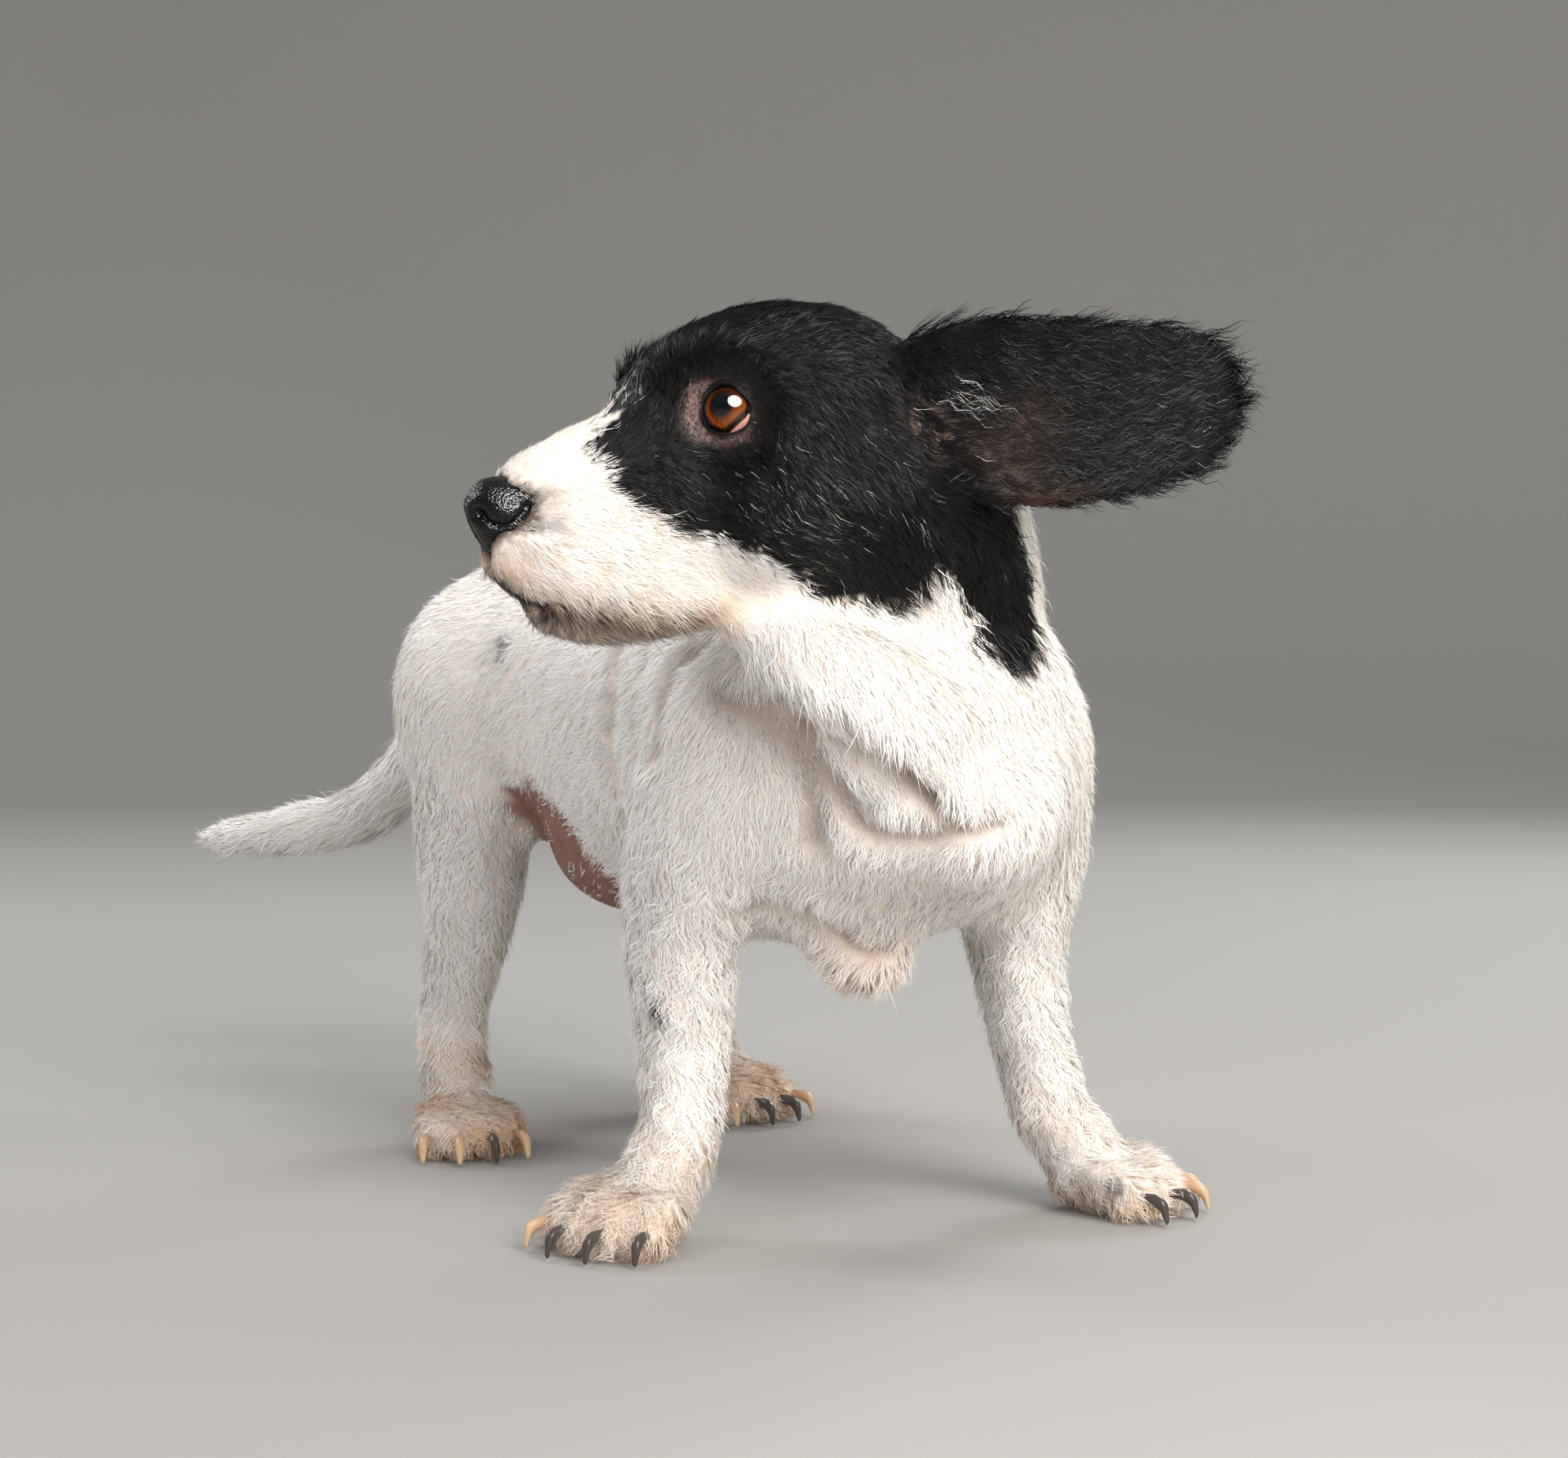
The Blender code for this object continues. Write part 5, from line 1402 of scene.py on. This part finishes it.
root = at_roots(skin_points)
root_normal = unit(at_roots(normals))
root_way = at_roots(comb)
root_way = unit(root_way - root_normal * (root_way * root_normal).sum(1, keepdims=True))
root_uv = (corner_uv[places] * weights[..., None]).sum(1)
root_part = owner[corners[places][np.arange(count), weights.argmax(1)]]
of_root = {
    # one number for each tuft
    "length": at_roots(hair_length),
    "lift": at_roots(hair_lift),
    "curl": at_roots(curl),
    "width": at_roots(blade_width),
    "full": at_roots(thickness * fullness),
    "ear": at_roots(ear_share),
    "stain_and_shade": at_roots(stain_and_shade),
    "dusk": at_roots(dusk),
    "crease": at_roots(crease),
    "ring": at_roots(eye_ring),
    "tuft": at_roots(ear_tuft),
    "brown": at_roots(ear_brown),
}
print("tufts on the skin", count)

# %% [markdown]
# ## Hairs of the lids
# The lids are a piece of their own, so their short hairs borrow the patch, the lie and the width of
# the skin next to them. They are three millimetres long at most, and denser than on the head.

# %% Hairs of the lids
LID_HAIR = 0.0030
LID_HAIRS_FULL = 1.6e6
beside = np.flatnonzero(eye_gap < 0.022)
lid_root, lid_way, lid_middle, lid_thin = (np.concatenate(values) for values in zip(*lid_roots))
lid_root = lid_root + chance.normal(0, 0.0004, (2 * LID_TUFTS, 3))
lid_out = unit(lid_root - lid_middle)
nearest_skin = beside[((lid_root[:, None] - skin_points[beside]) ** 2).sum(-1).argmin(1)]
first_corner = np.unique(skin_faces.ravel(), return_index=True)[1]
lid_way = unit(0.6 * unit(lid_way) + 0.7 * comb[nearest_skin])
lid_way = unit(lid_way - lid_out * (lid_way * lid_out).sum(1, keepdims=True))
on_head = root_part == FLESH.index("head")
lid_values = {title: of_root[title][on_head].mean() for title in ("lift", "curl", "width")}
lid_values.update(length=LID_HAIR - 0.0007 * lid_thin, ring=lid_thin, full=LID_HAIRS_FULL)
root = np.vstack([root, lid_root])
root_normal = np.vstack([root_normal, lid_out])
root_way = np.vstack([root_way, lid_way])
root_uv = np.vstack([root_uv, skin_uv.reshape(-1, 2)[first_corner[nearest_skin]]])
root_part = np.concatenate([root_part, np.full(2 * LID_TUFTS, FLESH.index("head"))])
for title, values in of_root.items():
    of_root[title] = np.concatenate([values, np.zeros(2 * LID_TUFTS) + lid_values.get(title, 0)])
print("tufts", len(root), "hairs", len(root) * HAIRS)

# %% [markdown]
# ## Grow the hairs
# The hairs of a tuft start round one root and lean together at their tips, as clipped wavy hair
# does. A hair is a flat tapered blade of two or three short lengths, not a tube, so that more than
# four hundred thousand of them stay light, and it is several times as wide as a real one, since
# each stands for a few. Its middle line at a share u of its length is
# root + length * u * cos(0.8 lift) * way + length * sin(lift) * (u - 0.45 u^2) * normal + sway * side,
# where the sway is curl * (sin(2 pi (u * length / wave + phase)) - sin(2 pi phase)). Each blade is
# shaded partly as the skin below it is, so that the coat takes light as one soft body.

# %% Grow the hairs
WAVE = 0.014
SINK = 0.0007
ROLL = 0.6
GATHER = 0.45  # how far the tips of a tuft draw together
STRAY_SHARE = 0.035
FACING = 0.33  # how much of a hair's own side is in its shading
FLOOR_GAP = 0.0003


def hair_lines(which, lengths):
    """The middle line of each hair of some tufts, and each tuft's normal. One in thirty is a stray:
    longer, more lifted and off the tuft's own way."""
    n = len(which)
    up, way = root_normal[which], root_way[which]
    side = np.cross(way, up)
    heading = 0.26 * swirl(root[which], 0.030, 12) + 0.18 * swirl(root[which], 0.009, 13)
    heading = heading + chance.normal(0, 0.08, n)
    way = way * np.cos(heading)[:, None] + side * np.sin(heading)[:, None]
    side = np.cross(way, up)
    reach = np.sqrt(HAIRS / np.maximum(of_root["full"][which], 2e5) / math.pi) * 1.25
    stray = chance.random((n, HAIRS)) < STRAY_SHARE
    angle = chance.uniform(0, 2 * math.pi, (n, HAIRS))
    radius = reach[:, None] * np.sqrt(chance.random((n, HAIRS)))
    offset = way[:, None] * (radius * np.cos(angle))[..., None]
    offset = offset + side[:, None] * (radius * np.sin(angle))[..., None]
    grown = of_root["length"][which][:, None]
    size = grown * chance.uniform(0.84, 1.10, (n, 1)) * chance.uniform(0.72, 1.08, (n, HAIRS))
    size *= np.where(stray, 1.25, 1)
    lift = of_root["lift"][which][:, None] * np.exp(chance.normal(0, 0.18, (n, 1)))
    lift = np.clip(lift + chance.normal(0, 0.05, (n, HAIRS)) + np.where(stray, 0.20, 0), 0.05, 1.2)
    fan = chance.normal(0, 0.13, (n, HAIRS)) + np.where(stray, chance.normal(0, 0.3, (n, HAIRS)), 0)
    phase = 0.5 * swirl(root[which], 0.016, 14) + chance.uniform(-0.12, 0.12, n)
    phase = phase[:, None] + chance.normal(0, 0.05, (n, HAIRS))
    gather = np.where(stray, 0.0, GATHER)[..., None]
    u = np.linspace(0, 1, lengths + 1)
    line = way[:, None] * np.cos(fan)[..., None] + side[:, None] * np.sin(fan)[..., None]
    turns = u * size[..., None] / WAVE + phase[..., None]
    sway = np.sin(2 * math.pi * turns) - np.sin(2 * math.pi * phase)[..., None]
    sway = sway * of_root["curl"][which][:, None, None] * (size / grown)[..., None]
    ahead = size[..., None] * u * np.cos(lift * 0.8)[..., None]
    rising = size[..., None] * np.sin(lift)[..., None] * (u - 0.45 * u**2)
    middle = (root[which] - SINK * up)[:, None, None] + offset[:, :, None] * (1 - gather * u**1.2)[..., None]
    middle = middle + line[:, :, None] * ahead[..., None]
    return middle + up[:, None, None] * rising[..., None] + side[:, None, None] * sway[..., None], up


def hairs(which, lengths, black, pale):
    """The corner points of all the hairs of some tufts, and the shading direction of each corner.
    Black hairs are rolled further and pale ones among them are finer."""
    n = len(which)
    middle, up = hair_lines(which, lengths)
    runs = unit(np.gradient(middle, axis=2))
    roll = (chance.uniform(-ROLL, ROLL, (n, HAIRS)) * (1 + 0.6 * black))[..., None, None]
    flat = unit(np.cross(runs, up[:, None, None]))
    flat = flat * np.cos(roll) + np.cross(runs, flat) * -np.sin(roll)
    wide = of_root["width"][which][:, None] * chance.uniform(0.75, 1.2, (n, HAIRS)) * (1 - 0.5 * pale) / 2
    taper = np.interp(np.linspace(0, 1, lengths + 1)[:-1], [0, 0.3, 1], [0.8, 1.0, 0.28])
    half = flat[:, :, :-1] * (wide[..., None] * taper)[..., None]
    sides = [middle[:, :, :-1] - half, middle[:, :, :-1] + half]
    ladder = np.stack(sides, 3).reshape(n, HAIRS, 2 * lengths, 3)
    points = np.concatenate([ladder, middle[:, :, -1:]], 2)
    points[..., 2] = np.maximum(points[..., 2], FLOOR_GAP)
    facing = unit(np.cross(flat, runs))
    facing = np.concatenate([np.repeat(facing[:, :, :-1], 2, 2), facing[:, :, -1:]], 2)
    share = (FACING + 0.40 * black)[..., None, None]
    shading = unit(share * facing + (1 - share) * up[:, None, None])
    return points.reshape(-1, 3), shading.reshape(-1, 3)


print("blade corners", 2 * 2 + 1, "to", 2 * 3 + 1)

# %% [markdown]
# ## One mesh of many tufts
# A tuft's hairs share its root's numbers: stain and dusk, which carry the brisket's painted shade
# too, crease, which paints the folds darker as painted shade, and the brown of the ear. Black is
# asked for each hair anew, with a random nudge, so that the border frays as it does in life, and a
# few pale hairs stand in the black of the cheek, the ear's tuft and the rims of the eyes. In the
# map OFBake each hair lies in a patch 0.003 across, at its root's place on the skin's own unwrap.

# %% One mesh of many tufts
PATCH = 0.003
CHEEK_FLECKS = np.array([-0.030, 0.050, -0.038])
CHEEK_SPREAD = np.array([0.045, 0.05, 0.022])


def blade_mesh(name, points, lengths):
    """A mesh of blades that each have the same corners: quads up the blade and a triangle at its
    tip. Gives the order of a blade's corners in its faces as well."""
    quads = [[2 * k, 2 * k + 1, 2 * k + 3, 2 * k + 2] for k in range(lengths - 1)]
    pattern = np.array([i for quad in quads for i in quad] + [2 * lengths - 2, 2 * lengths - 1, 2 * lengths])
    total = len(points) // (2 * lengths + 1)
    index = (np.arange(total)[:, None] * (2 * lengths + 1) + pattern).astype(np.int32)
    counts = np.tile(np.array([4] * (lengths - 1) + [3], np.int32), total)
    mesh = bpy.data.meshes.new(name)
    mesh.vertices.add(len(points))
    mesh.vertices.foreach_set("co", points.astype(np.float32).ravel())
    mesh.loops.add(index.size)
    mesh.loops.foreach_set("vertex_index", index.ravel())
    mesh.polygons.add(len(counts))
    mesh.polygons.foreach_set("loop_start", np.concatenate([[0], counts.cumsum()[:-1]]).astype(np.int32))
    mesh.polygons.foreach_set("loop_total", counts)
    mesh.polygons.foreach_set("use_smooth", np.ones(len(counts), bool))
    mesh.update(calc_edges=True)
    return mesh, pattern, int((counts - 2).sum())


def tuft_mesh(name, which, lengths):
    """One mesh of the hairs of some tufts, with their colour numbers and their OFBake patches."""
    total = len(which) * HAIRS
    place = np.repeat(root[which], HAIRS, 0)
    ragged = np.repeat(chance.normal(0, 0.0016, len(which)), HAIRS) + chance.normal(0, 0.0010, total)
    black = black_at(place, np.repeat(of_root["ear"][which], HAIRS), ragged)
    cheek = near(to_head(place), CHEEK_FLECKS, CHEEK_SPREAD)
    paler = np.repeat(0.5 * of_root["tuft"][which] + 0.4 * of_root["ring"][which], HAIRS)
    pale = (chance.random(total) < 0.0015 + 0.034 * cheek + paler) * (black > 0.5)
    points, shading = hairs(which, lengths, black.reshape(-1, HAIRS), pale.reshape(-1, HAIRS))
    black = np.where(pale, chance.uniform(0.1, 0.45, total), black)
    mesh, pattern, triangles = blade_mesh(name, points, lengths)
    across = np.concatenate([np.tile([0.0, 1.0], lengths), [0.5]])
    length_share = np.concatenate([np.repeat(np.arange(lengths) / lengths, 2), [1.0]])
    patch = (np.stack([across, length_share], 1) - 0.5) * PATCH
    spot = np.repeat(root_uv[which], HAIRS, 0)[:, None] + patch
    uv = mesh.uv_layers.new(name="OFBake")
    uv.uv.foreach_set("vector", np.clip(spot, 0, 1)[:, pattern].astype(np.float32).ravel())
    tone = np.repeat(chance.random(len(which)), HAIRS) * 0.65 + chance.random(total) * 0.35
    grey = np.clip(grey_at(root[which]) + of_root["dusk"][which], 0, 1)
    of_tuft = {"stain_and_shade": of_root["stain_and_shade"][which], "grey": grey}
    of_tuft.update(brown=of_root["brown"][which], crease=0.7 * of_root["crease"][which])
    numbers = {"black": black, "tone": tone, **{t: np.repeat(v, HAIRS) for t, v in of_tuft.items()}}
    for title, values in numbers.items():
        attribute(mesh, title, np.repeat(values, len(across)))
    mesh.normals_split_custom_set_from_vertices(shading.astype(np.float32))
    return mesh, triangles


print("patch of a tuft", PATCH)

# %% [markdown]
# ## The colour of hair
# Dog hair has a translucent sheath, so white hair is not quite white: it turns cream at the root
# and takes up the tan of saliva and soil at the feet and lips. In the creases of the folds and under
# the brisket it is painted darker and tan, which is painted shade. Black hair keeps a soft blue-grey
# gloss. One finish serves both, led by the numbers stored on each hair.

# %% Hair finish
# Clipped dog hair: the eye sees a soft sheen along each lock, never a mirror.
coat, tree, shader = surface("clipped_dog_hair", 0.38, Specular_IOR_Level=0.32)
# The crease colour is painted shade in the folds; the stain carries the brisket's painted shade too.
white = layered(
    tree, "#FEFDFB", ("tone", "#F2EDE6"), ("crease", "#9C8775"), ("stain_and_shade", "#E6BA86"), ("grey", "#2A2421")
)
dark = layered(tree, "#040404", ("tone", "#151314"), ("brown", "#38261D"))
tree.links.new(layered(tree, white, ("black", dark)), shader.inputs["Base Color"])
print("hair", len(tree.nodes), "nodes")

# %% [markdown]
# ## The coat in pieces
# The coat is parted by the part of the body that it grows on, so that each piece stays light
# enough to open by itself. A large part is split again, from one side to the other, where it would
# pass the limit of triangles. Longer, curlier hair gets a third length to bend in.

# %% Coat pieces
PIECES = {
    # piece: (kinds of part, lengths to a hair, slot)
    "coat_face": (("head", "nose", "jaw_lower"), 2, "coat_black"),
    "coat_ears": (("ear",), 3, "coat_black"),
    "coat_neck": (("neck",), 2, "coat_white"),
    "coat_chest": (("chest",), 2, "coat_white"),
    "coat_loin": (("loin",), 2, "coat_white"),
    "coat_tail": (("tail",), 2, "coat_white"),
    "coat_forelegs": (("foreleg",), 3, "coat_white"),
    "coat_hindlegs": (("hindleg",), 3, "coat_white"),
    "coat_paws": (("forepaw", "hindpaw"), 2, "coat_white"),
}
PIECE_LIMIT = 190_000
all_triangles = 0
for name, (kinds, lengths, slot) in PIECES.items():
    numbers = [k for k, n in enumerate(FLESH) if n.startswith(kinds)]
    mine = np.flatnonzero(np.isin(root_part, numbers))
    per_tuft = HAIRS * (2 * lengths - 1)
    parts = -(-len(mine) * per_tuft // PIECE_LIMIT)
    mine = mine[np.argsort(root[mine, 0], kind="stable")]
    for number, which in enumerate(np.array_split(mine, parts)):
        title = name if parts == 1 else f"{name}_{number + 1}"
        mesh, triangles = tuft_mesh(title, which, lengths)
        piece = new_object(title, mesh, coat)
        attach(piece, "root")
        all_triangles += triangles
        print(title, len(which), "tufts", triangles, "triangles")
print("coat triangles", all_triangles)

# %% [markdown]
# ## Nose leather
# The nose leather is a stack of level sections, each half an oval in front and nearly flat behind:
# x = middle + (front - middle) * cos(t)^0.8 and y = half width * sin(t)^0.8. It is widest a third
# of the way down and narrows to the groove above the lip. Dents are pressed in along short paths,
# as exp(-(distance / width)^2) again: the nostrils, the slits that curl back from them, and the
# groove between; the last one of the table is a bulge, the wing of the nostril.

# %% Shape of the nose
NOSE_RINGS, NOSE_SIDES = 110, 150
SECTION_SOFTNESS = 0.45  # in rows of the table of sections
FULL_HOLLOW = 0.004
DENTS = [
    # (width mm, depth mm, path in the head's frame on its left side)
    (2.9, 6.5, [(0.0990, 0.0068, -0.0428), (0.0980, 0.0080, -0.0432)]),
    (1.5, 3.0, [
        (0.0968, 0.0095, -0.0452), (0.0943, 0.0115, -0.0472), (0.0898, 0.0145, -0.0489),
        (0.0858, 0.0162, -0.0466), (0.0821, 0.0168, -0.0416), (0.0810, 0.0168, -0.0386),
    ]),
    (0.8, 1.3, [
        (0.1020, 0.0, -0.0365), (0.1005, 0.0, -0.0480), (0.0950, 0.0, -0.0565), (0.0890, 0.0, -0.0625),
    ]),
    (4.5, -1.1, [(0.0907, 0.0150, -0.0406), (0.0920, 0.0145, -0.0410)]),
]


def soft_sections():
    """The table's sections, in between and softened: each is a mean weighed by exp(-(rows apart /
    softness)^2), but the top and the bottom one stay where they are."""
    order = np.linspace(0, len(NOSE_SECTIONS) - 1, NOSE_RINGS)
    soft = np.exp(-(((order[:, None] - order[None]) / SECTION_SOFTNESS) ** 2))
    soft[0] = soft[0] * (order == order[0])
    soft[-1] = soft[-1] * (order == order[-1])
    sections = np.stack([np.interp(order, range(len(NOSE_SECTIONS)), row) for row in NOSE_SECTIONS.T], 1)
    return ((soft / soft.sum(1, keepdims=True)) @ sections).T[..., None]


level_up, front, half = soft_sections()
t = np.linspace(-math.pi, math.pi, NOSE_SIDES + 1)[:-1]
oval = abs(np.cos(t)) ** 0.8
ahead = NOSE_MIDDLE + (front - NOSE_MIDDLE) * oval
behind = NOSE_MIDDLE - (NOSE_MIDDLE - NOSE_BACK) * oval
sideways = half * np.sign(np.sin(t)) * abs(np.sin(t)) ** 0.8
leather = np.stack([np.where(np.cos(t) > 0, ahead, behind), sideways, level_up + 0 * t], -1)
quads = grid_faces(NOSE_RINGS, NOSE_SIDES, round_columns=True)[:, ::-1]
leather_faces = np.vstack([quads[:, [0, 1, 2]], quads[:, [0, 2, 3]], cap_faces(NOSE_RINGS, NOSE_SIDES)])
leather_points = np.vstack([leather.reshape(-1, 3), leather[0].mean(0), leather[-1].mean(0)])
push = np.zeros(len(leather_points))
for width, depth, path in DENTS:
    gap = np.min([along(leather_points, side)[0] for side in both_sides(path)], 0)
    push += depth / 1000 * np.exp(-((gap * 1000 / width) ** 2))
leather_points = leather_points - point_normals(leather_points, leather_faces) * push[:, None]
leather_mesh = mesh_of("nose_leather", from_head(leather_points), leather_faces)
# How deep the leather is dented, from 0 to 1: the finish paints the dents darker, as painted shade.
attribute(leather_mesh, "hollow", np.clip(push / FULL_HOLLOW, 0, 1))
print("nose from", leather_points.min(0).round(4), "to", leather_points.max(0).round(4))

# %% [markdown]
# ## Finish of the nose
# The leather is pebbled, black and wet. The pebbles are cells of a Voronoi pattern that a bump node
# raises; carved into the mesh they would take a million triangles. The same relief turns the wet
# coat over them, so that its gleam breaks up into many small ones.

# %% Finish of the nose
PEBBLE_SCALE = 900  # pebbles 1.1 mm across, about twice as coarse as real ones, so that they show

# Wet nose leather: pebbled and black, and painted darker between the pebbles and in the dents of
# the nostrils, slits and groove, which is painted shade.
nose_leather, tree, shader = surface(
    "wet_nose_leather", 0.30, Specular_IOR_Level=0.18, Coat_Weight=0.35, Coat_Roughness=0.14
)
place = add(tree, "ShaderNodeTexCoord").outputs["Object"]
pebble = add(tree, "ShaderNodeTexVoronoi", {"Scale": PEBBLE_SCALE}, {"Vector": place}).outputs["Distance"]
# Painted shade: darker in the grooves between the pebbles and in the dents.
colour = layered(tree, "#0D0A09", (pebble, "#030202"), ("hollow", "#030202"))
tree.links.new(colour, shader.inputs["Base Color"])
relief = add(tree, "ShaderNodeBump", {"Strength": 0.50, "Distance": 0.0008}, {"Height": pebble}, invert=True)
for socket in ("Normal", "Coat Normal"):
    tree.links.new(relief.outputs["Normal"], shader.inputs[socket])
nose = new_object("nose_leather", leather_mesh, nose_leather)
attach(nose, "root")
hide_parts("nose")
wet_pieces.objects.link(nose)
print("nose triangles", len(leather_faces))

# %% [markdown]
# ## Horn
# Claw horn is pale where the hair round it is white and dark where it is pigmented, glossy, a
# little cloudy, and pinker near the quick. How far each point is towards the tip is stored on it
# and blends the two colours.

# %% Finish of the horn
CLOUD_SCALE = 420  # clouds of 2.4 mm
HORN = {
    # slot: (root colour, tip colour)
    "horn_pale": ("#BC8672", "#E4C498"),
    "horn_dark": ("#2B282A", "#0E0E11"),
}
horns = {}
for slot, (root_paint, tip_paint) in HORN.items():
    # Grown horn, worn smooth by walking: a soft gloss over a slightly cloudy body.
    horn, tree, shader = surface(
        "claw_" + slot, 0.32, Specular_IOR_Level=0.5, Coat_Weight=0.25, Coat_Roughness=0.15
    )
    place = add(tree, "ShaderNodeTexCoord").outputs["Object"]
    cloud = add(
        tree, "ShaderNodeTexNoise", {"Scale": CLOUD_SCALE, "Detail": 3, "Roughness": 0.6}, {"Vector": place}
    ).outputs["Fac"]
    colour = layered(tree, root_paint, ("tip", tip_paint), (0.22, "#8A7A70"))
    tree.links.new(colour, shader.inputs["Base Color"])
    relief = add(tree, "ShaderNodeBump", {"Strength": 0.15, "Distance": 0.0004}, {"Height": cloud})
    tree.links.new(relief.outputs["Normal"], shader.inputs["Normal"])
    horns[slot] = horn
print("horn", list(horns))

# %% [markdown]
# ## Claws
# Each claw keeps the shape of its solid, welded and subdivided so that it turns smooth. It could be
# modelled anew as a bent cone, but the solid has the bend and the place already. The half beyond
# the middle is drawn in, and thickened by a + b * tip^2, because a dog that walks on hard ground
# has short, blunt claws.

# %% Claws
CLAW_SHORTER = 0.38
CLAW_ROOT = 0.95
CLAW_STOUTER = 1.25

claws = [n for n in frame["nodes"] if n.startswith("claw_")]
for node in claws:
    slot = "horn_dark" if "dark" in frame["nodes"][node].material_slots[0].name else "horn_pale"
    points, faces = solid_arrays(node)
    middle = points.mean(0)
    long_axis = np.linalg.svd(points - middle, full_matrices=False)[2][0]
    long_axis *= -np.sign(long_axis[2])
    reach = (points - middle) @ long_axis
    tip = (reach - reach.min()) / np.ptp(reach)
    on_axis = middle + (reach - CLAW_SHORTER * np.clip(reach, 0, None))[:, None] * long_axis
    off_axis = points - middle - reach[:, None] * long_axis
    points = on_axis + off_axis * (CLAW_ROOT + CLAW_STOUTER * tip**2)[:, None]
    points[:, 2] = np.maximum(points[:, 2], FLOOR_GAP)
    mesh = mesh_of("horn_" + node, points, faces)
    attribute(mesh, "tip", tip)
    claw = new_object("horn_" + node[5:], mesh, horns[slot])
    rounder = claw.modifiers.new("rounder", "SUBSURF")
    rounder.levels = rounder.render_levels = 2
    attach(claw, "root")
    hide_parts(node)
print("claws", len(claws))
